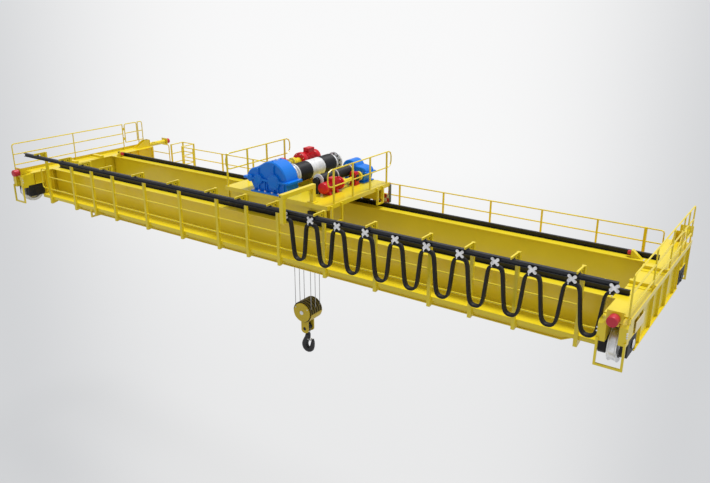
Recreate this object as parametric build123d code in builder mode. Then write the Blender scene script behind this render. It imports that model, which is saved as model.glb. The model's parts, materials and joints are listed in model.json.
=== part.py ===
from build123d import *
import os
from math import cos, radians, sin

# Double girder overhead bridge crane, millimetres.
# X runs along the bridge, Y along the runway, Z up from the head of the runway rails.
# The origin is midway between the two runway rails and midway between the two girders.

# Driving dimensions of the bridge
span = 22500                # between the runway rails
girder_top = 1120           # top of the girders above the runway rail head
girder_offset = 1400        # centre of a girder from the middle of the bridge
flange_width = 700
flange_thick = 24
box_width = 400             # over the webs
girder_depth = 1460
girder_end_depth = 900
taper_start = 9750          # where the bottom flange starts to rise
bottom_flange_width = 480
carriage_width = 640
carriage_depth = 980
carriage_near = -2620       # near end of the closed box of an end carriage
carriage_far = 3300
cheek_reach = 400           # cheek plates in front of the near end plate
cheek_width = 180
web_recess = 70             # webs of the end carriages behind the edges of their flanges
cheek_top_drop = 40
cheek_bottom_drop = 520

# Wheels of the bridge
wheel_offset = 2500         # wheel axles along Y
wheel_radius = 400
wheel_width = 210
wheel_tread = 120
wheel_flange = 25
axle_radius = 70
axle_gap = 0.3
pocket_width = 270
housing_width = 170
housing_half = 330          # along the carriage
housing_low = 220
housing_high = 665
disc_radius = 210

# Trolley rails
rail_height = 130
rail_head = 80
rail_head_depth = 38
rail_web = 32
rail_base = 130
rail_base_thick = 24
rail_left = -10900
rail_right = 11150
stop_x = 10480              # face of the trolley end stops
stop_height = 200
stop_length = 270
buffer_radius = 62
buffer_length = 100

# Walkways and railings
pipe_radius = 21
post_width = 60
near_deck_edge = 2290
near_deck_drop = 900
near_rail_heights = (305, 780)
far_deck_edge = 3220
far_deck_drop = 850
far_rail_y = 3180
deck_thick = 20
edge_beam_height = 110
edge_beam_width = 40
rail_levels = (300, 700, 1100)
far_post_pitch = 1720
far_post_first = 8980

# Festoon
festoon_y = -2640
festoon_end = 11170
festoon_top = 760           # above the girder top
festoon_height = 120
festoon_width = 100
festoon_flange = 12
festoon_web = 10
post_positions = (1260, 2970, 4700, 6390, 7570, 8750, 10300)
post_top = 860
post_foot_drop = 1070
arm_reach = 500
arm_height = 60
carrier_count = 11
carrier_first = 1850        # the towed carrier at rest
carrier_last = 11100
carrier_drop = 130          # carrier centre under the top of the beam
cable_width = 120
cable_thick = 30

# Trolley
trolley_x = 530
deck_length = 4100
deck_near = -1650
deck_far = 1750
deck_top = 730              # above the girder top
deck_plate = 30
deck_fascia = 130
trolley_wheelbase = 2790
trolley_wheel_radius = 200
sill_bottom = 200           # above the girder top
sill_thick = 30
sill_gap = 150
rope_x = 410
rope_opening = (1150, 900)

# Hoist machinery, heights above the trolley deck
shaft_height = 400
drum_x = 310
drum_radius = 305
drum_near = -600
drum_far = 1620
motor_x = -450
motor_height = 500
motor_radius = 250
gearbox_near = -1500
gearbox_far = -900
aux_drum_x = 1450
aux_height = 400
aux_drum_radius = 140
aux_drum_near = -600
aux_drum_far = 1000
aux_motor_x = 1790
aux_motor_height = 240
aux_motor_radius = 170
aux_gearbox_near = 1200
aux_gearbox_far = 1690

# Hook block
sheave_pitch = 120
sheave_count = 5
sheave_radius = 450         # over the rims
rope_radius = 13
sheave_lip = 33             # from the rim in to the centre of the rope
pin_radius = 75
block_drop = 3730           # pin of the block under the girder top
head_sheave_height = 200    # pin of the head sheaves above the girder top
plate_radius = 350
plate_thick = 40
strap_width = 300
trunnion_drop = 680         # trunnion under the pin of the block
trunnion_radius = 60
hook_drop = 700             # centre of the hook's seat under the trunnion
hook_thick = 120

os.makedirs("parts", exist_ok=True)

carriage_x = span / 2
inner_face = carriage_x - carriage_width / 2
outer_face = carriage_x + carriage_width / 2
sides = (-1, 1)


def save(builder, name):
    """Label a finished piece and write it as a STEP file."""
    builder.part.label = name
    export_step(builder.part, f"parts/{name}.step")


def block(low, high, mode=Mode.ADD):
    """A box between two corners."""
    size = [b - a for a, b in zip(low, high)]
    centre = [(a + b) / 2 for a, b in zip(low, high)]
    with Locations(tuple(centre)):
        Box(*size, mode=mode)


def rod(start, end, radius, sides_count=0, mode=Mode.ADD):
    """A round or polygonal bar between two points."""
    axis = Vector(*end) - Vector(*start)
    with BuildSketch(Plane(origin=start, z_dir=axis)) as profile:
        if sides_count:
            RegularPolygon(radius, sides_count)
        else:
            Circle(radius)
    extrude(profile.sketch, amount=axis.length, mode=mode)


def ngon(radius, count=24, inside=False):
    """A regular polygon; a bore, inside which a circle of the radius fits, has its flats where a pin has corners."""
    RegularPolygon(radius, count, major_radius=not inside, rotation=180 / count if inside else 0)


def pipe(points, radius, bend):
    """A pipe of six sides; corners are cut twice within the length of the bend."""
    route = [Vector(*points[0])]
    for a, b, c in zip(points, points[1:], points[2:]):
        corner = Vector(*b)
        back = (Vector(*a) - corner).normalized()
        ahead = (Vector(*c) - corner).normalized()
        route += [corner + back * bend, corner + (back + ahead) * (bend * 0.29), corner + ahead * bend]
    route.append(Vector(*points[-1]))
    with BuildLine() as path:
        Polyline(*route)
    with BuildSketch(Plane(origin=route[0], z_dir=route[1] - route[0])) as profile:
        RegularPolygon(radius, 6)
    sweep(profile.sketch, path=path.line, transition=Transition.RIGHT)


def disc_y(x, z, y0, y1, radius, mode=Mode.ADD, count=24, inside=False):
    """A many-sided disc whose axis runs along Y."""
    with BuildSketch(Plane(origin=(x, y0, z), x_dir=(0, 0, 1), z_dir=(0, 1, 0))) as profile:
        ngon(radius, count, inside)
    extrude(profile.sketch, amount=y1 - y0, mode=mode)


def disc_x(y, z, x0, x1, radius, mode=Mode.ADD, count=24, inside=False):
    """A many-sided disc whose axis runs along X."""
    with BuildSketch(Plane(origin=(x0, y, z), x_dir=(0, 0, 1), z_dir=(1, 0, 0))) as profile:
        ngon(radius, count, inside)
    extrude(profile.sketch, amount=x1 - x0, mode=mode)


def prism_y(outline, y0, y1):
    """A plate or casing with a polygon in XZ, between two planes across Y."""
    with BuildSketch(Plane.XZ.offset(-y0)) as profile:
        with BuildLine():
            Polyline(*outline, close=True)
        make_face()
    extrude(profile.sketch, amount=-(y1 - y0))


def prism_x(outline, x0, x1):
    """A plate with a polygon in YZ, between two planes across X."""
    with BuildSketch(Plane.YZ.offset(x0)) as profile:
        with BuildLine():
            Polyline(*outline, close=True)
        make_face()
    extrude(profile.sketch, amount=x1 - x0)


# Girders: closed boxes with a wide top flange and a bottom flange that rises at both ends
def girder(y):
    web_top = girder_top - flange_thick
    belly = girder_top - girder_depth
    end_bottom = girder_top - girder_end_depth
    outline = [
        (-inner_face, web_top), (inner_face, web_top), (inner_face, end_bottom + flange_thick),
        (taper_start, belly + flange_thick), (-taper_start, belly + flange_thick),
        (-inner_face, end_bottom + flange_thick),
    ]
    bottom = [
        (-inner_face, end_bottom + flange_thick), (-taper_start, belly + flange_thick),
        (taper_start, belly + flange_thick), (inner_face, end_bottom + flange_thick),
        (inner_face, end_bottom), (taper_start, belly), (-taper_start, belly), (-inner_face, end_bottom),
    ]
    with BuildSketch(Plane.XZ.offset(-y)) as profile:
        with BuildLine():
            Polyline(*outline, close=True)
        make_face()
    extrude(profile.sketch, amount=box_width / 2, both=True)
    with BuildSketch(Plane.XZ.offset(-y)) as profile:
        with BuildLine():
            Polyline(*bottom, close=True)
        make_face()
    extrude(profile.sketch, amount=bottom_flange_width / 2, both=True)
    block((-inner_face, y - flange_width / 2, web_top), (inner_face, y + flange_width / 2, girder_top))


with BuildPart() as girder_near:
    girder(-girder_offset)
save(girder_near, "girder_near")

with BuildPart() as girder_far:
    girder(girder_offset)
save(girder_far, "girder_far")


# Trolley rails: flat-bottomed crane rail on the middle of each girder
rail_outline = [
    (-rail_base / 2, 0), (rail_base / 2, 0), (rail_base / 2, rail_base_thick * 0.5),
    (rail_web / 2, rail_base_thick), (rail_web / 2, rail_height - rail_head_depth),
    (rail_head / 2, rail_height - rail_head_depth), (rail_head / 2, rail_height),
    (-rail_head / 2, rail_height), (-rail_head / 2, rail_height - rail_head_depth),
    (-rail_web / 2, rail_height - rail_head_depth), (-rail_web / 2, rail_base_thick),
    (-rail_base / 2, rail_base_thick * 0.5),
]
with BuildPart() as trolley_rails:
    for side in sides:
        with BuildSketch(Plane(origin=(rail_left, side * girder_offset, girder_top),
                               x_dir=(0, 1, 0), z_dir=(1, 0, 0))):
            with BuildLine():
                Polyline(*rail_outline, close=True)
            make_face()
        extrude(amount=rail_right - rail_left)
save(trolley_rails, "trolley_rails")

# End stops of the trolley: a gusseted bracket beside each rail end, with a red buffer on it
stop_y = girder_offset - rail_base / 2 - 95
stop_buffer_z = girder_top + 115
with BuildPart() as rail_stops:
    for side in sides:
        for end in sides:
            with BuildSketch(Plane.XZ.offset(-side * stop_y)):
                with BuildLine():
                    Polyline((end * stop_x, girder_top), (end * (stop_x + stop_length), girder_top),
                             (end * (stop_x + 40), girder_top + stop_height),
                             (end * stop_x, girder_top + stop_height), close=True)
                make_face()
            extrude(amount=70, both=True)
save(rail_stops, "rail_stops")


def carriage(side):
    """One end carriage: box with webs set back from its flanges, cheeks round the near wheel, ribs."""
    x = side * carriage_x
    half = carriage_width / 2
    web = half - web_recess
    bottom = girder_top - carriage_depth
    plate = 24
    block((x - web, carriage_near, bottom), (x + web, carriage_far, girder_top - plate))
    block((x - half, carriage_near, girder_top - plate), (x + half, carriage_far, girder_top))
    block((x - half, carriage_far - 16, bottom), (x + half, carriage_far, girder_top))
    shelf = wheel_offset - housing_half - 10
    block((x - half, -shelf, bottom), (x + half, shelf, bottom + plate))
    for end in sides:
        low = min(end * (wheel_offset - housing_half), end * (wheel_offset + housing_half))
        block((x - half, low, housing_high), (x + half, low + 2 * housing_half, housing_high + 16))
    for y in rib_positions:
        block((x - half + 6, y - 6, bottom), (x + half - 6, y + 6, girder_top - plate))
    for y in (-wheel_offset, wheel_offset):
        block((x - half + 6, y - 6, housing_high), (x + half - 6, y + 6, girder_top - plate))
    for cheek in sides:
        x0 = x + cheek * half
        x1 = x0 - cheek * cheek_width
        low = carriage_near - cheek_reach
        root = carriage_near + 60
        outline = [(root, girder_top - plate), (carriage_near, girder_top - plate),
                   (low + 60, girder_top - cheek_top_drop), (low, girder_top - cheek_top_drop - 60),
                   (low, girder_top - cheek_bottom_drop), (root, girder_top - cheek_bottom_drop)]
        prism_x(outline, min(x0, x1), max(x0, x1))
    for y in (-wheel_offset, wheel_offset):
        low = y - wheel_radius - 60
        high = y + wheel_radius + 60
        if y < 0:
            low = carriage_near - cheek_reach - 1
        else:
            high = carriage_far + 1
        block((x - pocket_width / 2, low, bottom - 1), (x + pocket_width / 2, high, 2 * wheel_radius + 60),
              mode=Mode.SUBTRACT)
        block((x - half - 1, y - housing_half, bottom - 1), (x + half + 1, y + housing_half, housing_high),
              mode=Mode.SUBTRACT)
    for y in (-670, 540):
        block((x - half, y, girder_top), (x + half, y + 130, girder_top + 90))
        block((x - half, y - 190, girder_top), (x + half, y, girder_top + 12))


rib_positions = (-2080, -1740, -760, 0, 760, 1740, 2080)
with BuildPart() as end_carriage_left:
    carriage(-1)
save(end_carriage_left, "end_carriage_left")

with BuildPart() as end_carriage_right:
    carriage(1)
save(end_carriage_right, "end_carriage_right")

# Bearing housings: black blocks in the cut-outs of the carriage sides, one each side of a wheel
with BuildPart() as axle_boxes:
    for side in sides:
        for y in (-wheel_offset, wheel_offset):
            for cheek in sides:
                outer = side * carriage_x + cheek * carriage_width / 2
                inner = outer - cheek * housing_width
                low = min(inner, outer)
                block((low, y - housing_half, housing_low), (low + housing_width, y + housing_half, housing_high))
                disc_x(y, wheel_radius, low, low + housing_width, axle_radius + axle_gap, Mode.SUBTRACT, 16, True)
        x0 = side * outer_face
        x1 = x0 + side * 110
        disc_x(-wheel_offset, wheel_radius + 40, min(x0, x1), max(x0, x1), disc_radius)
save(axle_boxes, "axle_boxes")


def track_wheel(x, y, z, radius, width, tread, flange, axle, axle_length, along):
    """A many-sided double-flanged wheel with its axle, turned about one line."""
    disc = disc_x if along == "X" else disc_y
    place = (y, z) if along == "X" else (x, z)
    centre = x if along == "X" else y
    disc(*place, centre - axle_length / 2, centre + axle_length / 2, axle, count=16)
    disc(*place, centre - width / 2, centre + width / 2, radius)
    for side in sides:
        edges = sorted((centre + side * tread / 2, centre + side * width / 2))
        disc(*place, *edges, radius + flange)


for side, side_name in ((-1, "left"), (1, "right")):
    for end, end_name in ((-1, "near"), (1, "far")):
        wheel_name = f"wheel_{end_name}_{side_name}"
        with BuildPart() as wheel:
            track_wheel(side * carriage_x, end * wheel_offset, wheel_radius, wheel_radius, wheel_width,
                        wheel_tread, wheel_flange, axle_radius, carriage_width - 20, "X")
        save(wheel, wheel_name)

# Wheel guards: U-shaped frames that hang in front of each bridge wheel, just over the rail
guard_bar = 50
guard_bottom = 15
with BuildPart() as wheel_guards:
    for side in sides:
        x = side * carriage_x
        half = carriage_width / 2
        near = carriage_near - cheek_reach
        for y0, y1, top in ((near - guard_bar, near, girder_top - cheek_bottom_drop + 90),
                            (carriage_far, carriage_far + guard_bar, girder_top - 700)):
            for leg in sides:
                a = x + leg * half
                b = a - leg * guard_bar
                block((min(a, b), y0, guard_bottom), (max(a, b), y1, top))
            block((x - half, y0, guard_bottom), (x + half, y1, guard_bottom + guard_bar))
save(wheel_guards, "wheel_guards")

# Buffers of the bridge: near ones on end plates over the wheels, far ones on long tubes
bridge_buffer_z = girder_top + 50
bridge_buffer_radius = 165
bridge_buffer_face = carriage_near - 340
far_tube_end = 4250
with BuildPart() as buffer_arms:
    for side in sides:
        x = side * carriage_x
        plate_low = girder_top - cheek_top_drop + 1.5
        block((x - 180, bridge_buffer_face, plate_low), (x + 180, bridge_buffer_face + 20, bridge_buffer_z + 175))
        block((x - 110, bridge_buffer_face, girder_top - 125), (x + 110, bridge_buffer_face + 20, plate_low))
        block((x - 110, bridge_buffer_face + 20, girder_top - 110), (x + 110, carriage_near, girder_top))
        for web in (x - 100, x + 100):
            prism_x([(bridge_buffer_face + 20, girder_top), (bridge_buffer_face + 20, girder_top + 190),
                     (carriage_near + 160, girder_top)], web - 8, web + 8)
        block((x - 130, carriage_far - 16, girder_top), (x + 130, carriage_far, girder_top + 300))
        disc_y(x, girder_top + 50, carriage_far, far_tube_end, 95, count=16)
        block((x - 180, far_tube_end - 20, girder_top - 110), (x + 180, far_tube_end, girder_top + 210))
        for web in (x - 105, x + 105):
            prism_x([(carriage_far - 800, girder_top), (carriage_far - 16, girder_top),
                     (carriage_far - 16, girder_top + 300), (carriage_far - 260, girder_top + 300)],
                    web - 10, web + 10)
save(buffer_arms, "buffer_arms")

with BuildPart() as buffers:
    for side in sides:
        x = side * carriage_x
        disc_y(x, bridge_buffer_z, bridge_buffer_face - 240, bridge_buffer_face, bridge_buffer_radius)
        disc_y(x, girder_top + 50, far_tube_end, far_tube_end + 220, 120)
    for side in sides:
        for end in sides:
            x0 = end * stop_x
            x1 = end * (stop_x - buffer_length)
            disc_x(side * stop_y, stop_buffer_z, min(x0, x1), max(x0, x1), buffer_radius, count=16)
save(buffers, "buffers")

# Bridge travel drives on the inner sides of the far wheels
with BuildPart() as bridge_drives:
    for side in sides:
        x0 = side * inner_face
        for reach, radius in ((70, 125), (520, 110), (600, 85)):
            x1 = x0 - side * reach
            disc_x(wheel_offset, wheel_radius, min(x0, x1), max(x0, x1), radius, count=16)
save(bridge_drives, "bridge_drives")

# Near walkway along the outer web, with its edge beam and brackets
near_deck_top = girder_top - near_deck_drop
far_deck_top = girder_top - far_deck_drop
web_face = girder_offset + box_width / 2
all_posts = [-x for x in reversed(post_positions)] + [0] + list(post_positions)
walk_end = inner_face - 40
with BuildPart() as walkway_near:
    block((-walk_end, -near_deck_edge, near_deck_top - deck_thick), (walk_end, -web_face, near_deck_top))
    block((-walk_end, -near_deck_edge, near_deck_top - edge_beam_height),
          (walk_end, -near_deck_edge + edge_beam_width, near_deck_top))
    for x in all_posts:
        block((x - 6, -near_deck_edge, near_deck_top - 100), (x + 6, -web_face, near_deck_top - deck_thick))
    notch = girder_offset + bottom_flange_width / 2 + 10
    for end in sides:
        block((min(end * 10400, end * inner_face), -notch, near_deck_top - 200),
              (max(end * 10400, end * inner_face), -web_face + 1, near_deck_top + 1), mode=Mode.SUBTRACT)
save(walkway_near, "walkway_near")

with BuildPart() as walkway_far:
    block((-walk_end, web_face, far_deck_top - deck_thick), (walk_end, far_deck_edge, far_deck_top))
    block((-walk_end, far_deck_edge - edge_beam_width, far_deck_top - edge_beam_height),
          (walk_end, far_deck_edge, far_deck_top))
    for x in all_posts:
        block((x - 8, web_face, far_deck_top - 160), (x + 8, far_deck_edge, far_deck_top - deck_thick))
    for end in sides:
        block((min(end * 10400, end * inner_face), web_face - 1, far_deck_top - 200),
              (max(end * 10400, end * inner_face), notch, far_deck_top + 1), mode=Mode.SUBTRACT)
save(walkway_far, "walkway_far")

# Festoon posts on the edge of the near walkway, with the handrail pipes and their rounded ends
festoon_beam_top = girder_top + festoon_top
post_depth = 50
post_y = -near_deck_edge - post_depth / 2
arm_tip = -near_deck_edge - arm_reach
with BuildPart() as near_railing:
    for x in all_posts:
        block((x - post_width / 2, -near_deck_edge - post_depth, girder_top - post_foot_drop),
              (x + post_width / 2, -near_deck_edge, girder_top + post_top))
        for turn in sides:
            edge = x + turn * post_width / 2
            prism_y([(edge - turn, near_deck_top - 110), (edge + turn * 80, near_deck_top - 110),
                     (edge - turn, near_deck_top + 70)], -near_deck_edge - 20, -near_deck_edge)
    low = near_deck_top + near_rail_heights[0]
    high = near_deck_top + near_rail_heights[1]
    loop_top = girder_top + 150
    pipe([(all_posts[0], post_y, high), (all_posts[-1], post_y, high)], pipe_radius, 0)
    pipe([(all_posts[0], post_y, loop_top), (-10750, post_y, loop_top), (-10750, post_y, low),
          (10750, post_y, low), (10750, post_y, loop_top), (all_posts[-1], post_y, loop_top)], pipe_radius, 110)
save(near_railing, "near_railing")

with BuildPart() as festoon_arms:
    for x in all_posts:
        prism_x([(-near_deck_edge - post_depth, girder_top + post_top), (arm_tip, girder_top + post_top),
                 (arm_tip, girder_top + post_top - arm_height),
                 (-near_deck_edge - post_depth - 120, girder_top + post_top - arm_height),
                 (-near_deck_edge - post_depth, girder_top + post_top - 160)],
                x - post_width / 2, x + post_width / 2)
save(festoon_arms, "festoon_arms")

# Festoon beam: a small I-beam hung under the tips of the arms
with BuildPart() as festoon_beam:
    z1 = festoon_beam_top
    z0 = z1 - festoon_height
    block((-festoon_end, festoon_y - festoon_width / 2, z1 - festoon_flange),
          (festoon_end, festoon_y + festoon_width / 2, z1))
    block((-festoon_end, festoon_y - festoon_width / 2, z0),
          (festoon_end, festoon_y + festoon_width / 2, z0 + festoon_flange))
    block((-festoon_end, festoon_y - festoon_web / 2, z0), (festoon_end, festoon_y + festoon_web / 2, z1))
    for x in all_posts:
        block((x - 25, festoon_y - 30, z1), (x + 25, festoon_y + 30, girder_top + post_top - arm_height))
save(festoon_beam, "festoon_beam")


def carrier(x):
    """One cable carrier: crossed plate outboard of the beam, rollers on its lower flange, saddle."""
    z = festoon_beam_top - carrier_drop
    plate_y = festoon_y - festoon_width / 2 - 14
    reach = 88
    for turn in sides:
        start = Vector(x - turn * reach, plate_y, z - reach)
        end = Vector(x + turn * reach, plate_y, z + reach)
        axis = end - start
        with BuildSketch(Plane(origin=start, x_dir=(0, 1, 0), z_dir=axis)) as profile:
            Rectangle(10, 46)
        extrude(profile.sketch, amount=axis.length)
    for dx in (-55, 55):
        disc_y(x + dx, festoon_beam_top - festoon_height + festoon_flange + 20.3,
               festoon_y - festoon_width / 2 - 12, festoon_y - 12, 20, count=12)
    block((x - 25, plate_y - 5, z - 174), (x + 25, plate_y + 5, z))
    saddle_top = z - 150
    block((x - 55, plate_y - 5, saddle_top - 24), (x + 55, festoon_y + cable_width / 2, saddle_top))


carrier_pitch = (carrier_last - carrier_first) / (carrier_count - 1)
for number in range(carrier_count):
    with BuildPart() as cable_carrier:
        carrier(carrier_first + number * carrier_pitch)
    save(cable_carrier, f"cable_carrier_{number + 1}")

# Festoon cable: ten equal flat loops, each clamped under two carriers
loop_points = [(0, 0), (178, 0), (232, -560), (282, -1060), (382, -1180)]
clamp_z = festoon_beam_top - carrier_drop - 150 - 24 - 0.3 - cable_thick / 2


def strip_outline(points, thick):
    """The two edges of a band of even thickness along a bent line."""
    upper = []
    lower = []
    for number, here in enumerate(points):
        before = points[max(number - 1, 0)]
        after = points[min(number + 1, len(points) - 1)]
        first = Vector(here[0] - before[0], here[1] - before[1])
        second = Vector(after[0] - here[0], after[1] - here[1])
        if first.length == 0:
            first = second
        if second.length == 0:
            second = first
        mean = (first.normalized() + second.normalized()).normalized()
        stretch = 1 / (mean.X * second.normalized().X + mean.Y * second.normalized().Y)
        shift = (-mean.Y * stretch * thick / 2, mean.X * stretch * thick / 2)
        upper.append((here[0] + shift[0], here[1] + shift[1]))
        lower.append((here[0] - shift[0], here[1] - shift[1]))
    return upper + lower[::-1]


with BuildPart() as festoon_cable:
    for number in range(carrier_count - 1):
        x0 = carrier_first + number * carrier_pitch
        left = [(x0 + dx, clamp_z + dz) for dx, dz in loop_points]
        right = [(x0 + carrier_pitch - dx, clamp_z + dz) for dx, dz in reversed(loop_points)]
        prism_y(strip_outline(left + right, cable_thick), festoon_y - cable_width / 2, festoon_y + cable_width / 2)
save(festoon_cable, "festoon_cable")


# Railings of the end carriages: three rails with rounded corners on posts
def rail_frame(x, y0, y1, base, posts, rounded):
    """A railing in a plane across X, with three rails and posts."""
    top = base + rail_levels[2]
    bend = 90
    start = (x, y0, base - 36.3) if rounded[0] else None
    end = (x, y1, base) if rounded[1] else None
    points = [p for p in (start, (x, y0, top), (x, y1, top), end) if p]
    pipe(points, pipe_radius, bend)
    for level in rail_levels[:2]:
        pipe([(x, y0, base + level), (x, y1, base + level)], pipe_radius, 0)
    for y in posts:
        rod((x, y, base), (x, y, top), pipe_radius, 6)


railing_x = outer_face - 40
gate_y0 = 2310
gate_y1 = 2960
gate_post_gap = 110
hinge_y = gate_y0 - 55
gate_hinges = (girder_top + 480, girder_top + 900)
hinge_pin = 12
hinge_play = 0.05
railing_near = -2910
with BuildPart() as carriage_railing_left:
    rail_frame(-railing_x, railing_near, gate_y0 - gate_post_gap, girder_top,
               (-250, gate_y0 - gate_post_gap), (True, False))
    rail_frame(-railing_x, gate_y1 + 60, carriage_far - 40, girder_top, (gate_y1 + 60,), (False, True))
    block((-outer_face - 12, railing_near, girder_top - 40), (-outer_face, carriage_far, girder_top + 100))
    for z in gate_hinges:
        rod((-railing_x, hinge_y, z - 62), (-railing_x, hinge_y, z + 50), hinge_pin, 8)
        block((-railing_x - 15, gate_y0 - gate_post_gap, z - 62), (-railing_x + 15, hinge_y + 15, z - 42))
save(carriage_railing_left, "carriage_railing_left")

with BuildPart() as carriage_railing_right:
    rail_frame(railing_x, railing_near, carriage_far - 40, girder_top, (-900, 800, 2000, 2600), (True, True))
    block((outer_face, railing_near, girder_top - 40), (outer_face + 12, carriage_far, girder_top + 100))
save(carriage_railing_right, "carriage_railing_right")

# Gate in the left railing: a frame that turns on its near post
with BuildPart() as gate:
    gate_low = girder_top + rail_levels[0]
    gate_high = girder_top + rail_levels[2]
    pipe([(-railing_x, gate_y0, gate_low), (-railing_x, gate_y0, gate_high),
          (-railing_x, gate_y1, gate_high), (-railing_x, gate_y1, gate_low)], pipe_radius, 80)
    pipe([(-railing_x, gate_y0, gate_low), (-railing_x, gate_y1, gate_low)], pipe_radius, 0)
    pipe([(-railing_x, gate_y0, gate_low + 400), (-railing_x, gate_y1, gate_low + 400)], pipe_radius, 0)
    for z in gate_hinges:
        rod((-railing_x, hinge_y, z - 40), (-railing_x, hinge_y, z + 40), 24, 8)
        block((-railing_x - 8, hinge_y, z - 30), (-railing_x + 8, gate_y0, z + 30))
        with BuildSketch(Plane(origin=(-railing_x, hinge_y, z - 41), z_dir=(0, 0, 1))) as bore:
            ngon(hinge_pin + hinge_play, 8, True)
        extrude(bore.sketch, amount=82, mode=Mode.SUBTRACT)
save(gate, "gate")

# Far walkway railing, open at the access landing
cage_x0 = -9700
cage_x1 = -8950
cage_y1 = 3950
with BuildPart() as far_railing:
    end_x = walk_end - 40
    base = far_deck_top
    top = base + rail_levels[2]
    for x0, x1 in ((-end_x, cage_x0 - 40), (end_x, cage_x1 + 40)):
        pipe([(x0, far_rail_y, base), (x0, far_rail_y, top), (x1, far_rail_y, top), (x1, far_rail_y, base)],
             pipe_radius, 70)
        for level in rail_levels[:2]:
            pipe([(min(x0, x1), far_rail_y, base + level), (max(x0, x1), far_rail_y, base + level)], pipe_radius, 0)
    post_count = 11
    for number in range(post_count):
        x = far_post_first - number * far_post_pitch
        block((x - 25, far_rail_y - 25, base), (x + 25, far_rail_y + 25, top))
    block((10310, far_rail_y - 40, base), (10390, far_rail_y + 40, top + 20))
save(far_railing, "far_railing")

# Access landing outside the far walkway, with railings on three sides
with BuildPart() as access_landing:
    block((cage_x0, far_deck_edge, far_deck_top - 60), (cage_x1, cage_y1, far_deck_top))
    top = far_deck_top + rail_levels[2]
    edge = 30
    corners = [(cage_x0 + edge, far_deck_edge + edge), (cage_x0 + edge, cage_y1 - edge),
               (cage_x1 - edge, cage_y1 - edge), (cage_x1 - edge, far_deck_edge + edge)]
    for level in rail_levels:
        z = far_deck_top + level
        for a, b in zip(corners, corners[1:]):
            pipe([(*a, z), (*b, z)], pipe_radius, 0)
    for a in corners:
        block((a[0] - 25, a[1] - 25, far_deck_top), (a[0] + 25, a[1] + 25, top + 20))
save(access_landing, "access_landing")

# Trolley
deck_z = girder_top + deck_top
deck_x0 = trolley_x - deck_length / 2
deck_x1 = trolley_x + deck_length / 2
rail_top = girder_top + rail_height
trolley_axle_z = rail_top + trolley_wheel_radius
trolley_axles = [trolley_x - trolley_wheelbase / 2, trolley_x + trolley_wheelbase / 2]
sill_low = girder_top + sill_bottom
with BuildPart() as trolley_frame:
    block((deck_x0, deck_near, deck_z - deck_plate), (deck_x1, deck_far, deck_z))
    rim = 60
    for low, high in (((deck_x0, deck_near), (deck_x1, deck_near + rim)),
                      ((deck_x0, deck_far - rim), (deck_x1, deck_far)),
                      ((deck_x0, deck_near), (deck_x0 + rim, deck_far)),
                      ((deck_x1 - rim, deck_near), (deck_x1, deck_far))):
        block((*low, deck_z - deck_fascia), (*high, deck_z))
    for side in sides:
        for web in sides:
            y = side * girder_offset + web * (sill_gap / 2 + sill_thick / 2)
            block((deck_x0 + 150, y - sill_thick / 2, sill_low),
                  (deck_x1 - 150, y + sill_thick / 2, deck_z - deck_plate))
    beam_end = girder_offset - sill_gap / 2 - sill_thick
    for x in (-700, rope_x - 680, rope_x + 680, 1700):
        block((x - 60, -beam_end, deck_z - 330), (x + 60, beam_end, deck_z - deck_plate))
    for x in trolley_axles:
        disc_y(x, trolley_axle_z, -girder_offset - 300, girder_offset + 300, 46.3, Mode.SUBTRACT, 16, True)
    for y in (-360, 360):
        block((rope_x - 620, y - 15, girder_top - 40), (rope_x + 620, y + 15, deck_z - deck_plate))
    disc_y(rope_x, girder_top + head_sheave_height, -400, 400, pin_radius + 0.3, Mode.SUBTRACT, 16)
    for end in sides:
        x = deck_x1 + 60 if end > 0 else deck_x0 - 60
        a = x - end * 60
        for y0, y1 in ((-1470, -970), (970, 1290)):
            for y in (y0, y1):
                block((min(a, x), y - 30, girder_top + 150), (max(a, x), y + 30, deck_z - 30))
            block((min(a, x), y0 - 30, girder_top + 150), (max(a, x), y1 + 30, girder_top + 200))
    block((rope_x - rope_opening[0] / 2, -345, deck_z - deck_plate - 1),
          (rope_x + rope_opening[0] / 2, 345, deck_z + 1), mode=Mode.SUBTRACT)
save(trolley_frame, "trolley_frame")

for axle_x, axle_name in zip(trolley_axles, ("left", "right")):
    with BuildPart() as wheelset:
        for side in sides:
            track_wheel(axle_x, side * girder_offset, trolley_axle_z, trolley_wheel_radius, 130,
                        rail_head + 6, 20, 46, 280, "Y")
        disc_y(axle_x, trolley_axle_z, -girder_offset, girder_offset, 40, count=16)
    save(wheelset, f"trolley_wheels_{axle_name}")


def sheave(x, y, z, bore):
    """A rope sheave: two rims, the bottom of the groove and a hub."""
    groove = sheave_radius - sheave_lip - rope_radius - 0.3
    half = sheave_pitch / 2 - 12
    disc_y(x, z, y - half, y + half, groove)
    for side in sides:
        edges = sorted((y + side * (rope_radius + 9), y + side * half))
        disc_y(x, z, *edges, sheave_radius)


sheave_rows = [(n - (sheave_count - 1) / 2) * sheave_pitch for n in range(sheave_count)]
head_z = girder_top + head_sheave_height
block_z = girder_top - block_drop
with BuildPart() as head_sheaves:
    for y in sheave_rows:
        sheave(rope_x, y, head_z, pin_radius - 5)
    disc_y(rope_x, head_z, -380, 380, pin_radius, count=16)
save(head_sheaves, "head_sheaves")

with BuildPart() as hoist_ropes:
    fall = sheave_radius - sheave_lip
    for y in sheave_rows:
        for side in sides:
            x = rope_x + side * fall
            rod((x, y, block_z), (x, y, head_z), rope_radius, 8)
save(hoist_ropes, "hoist_ropes")

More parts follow.
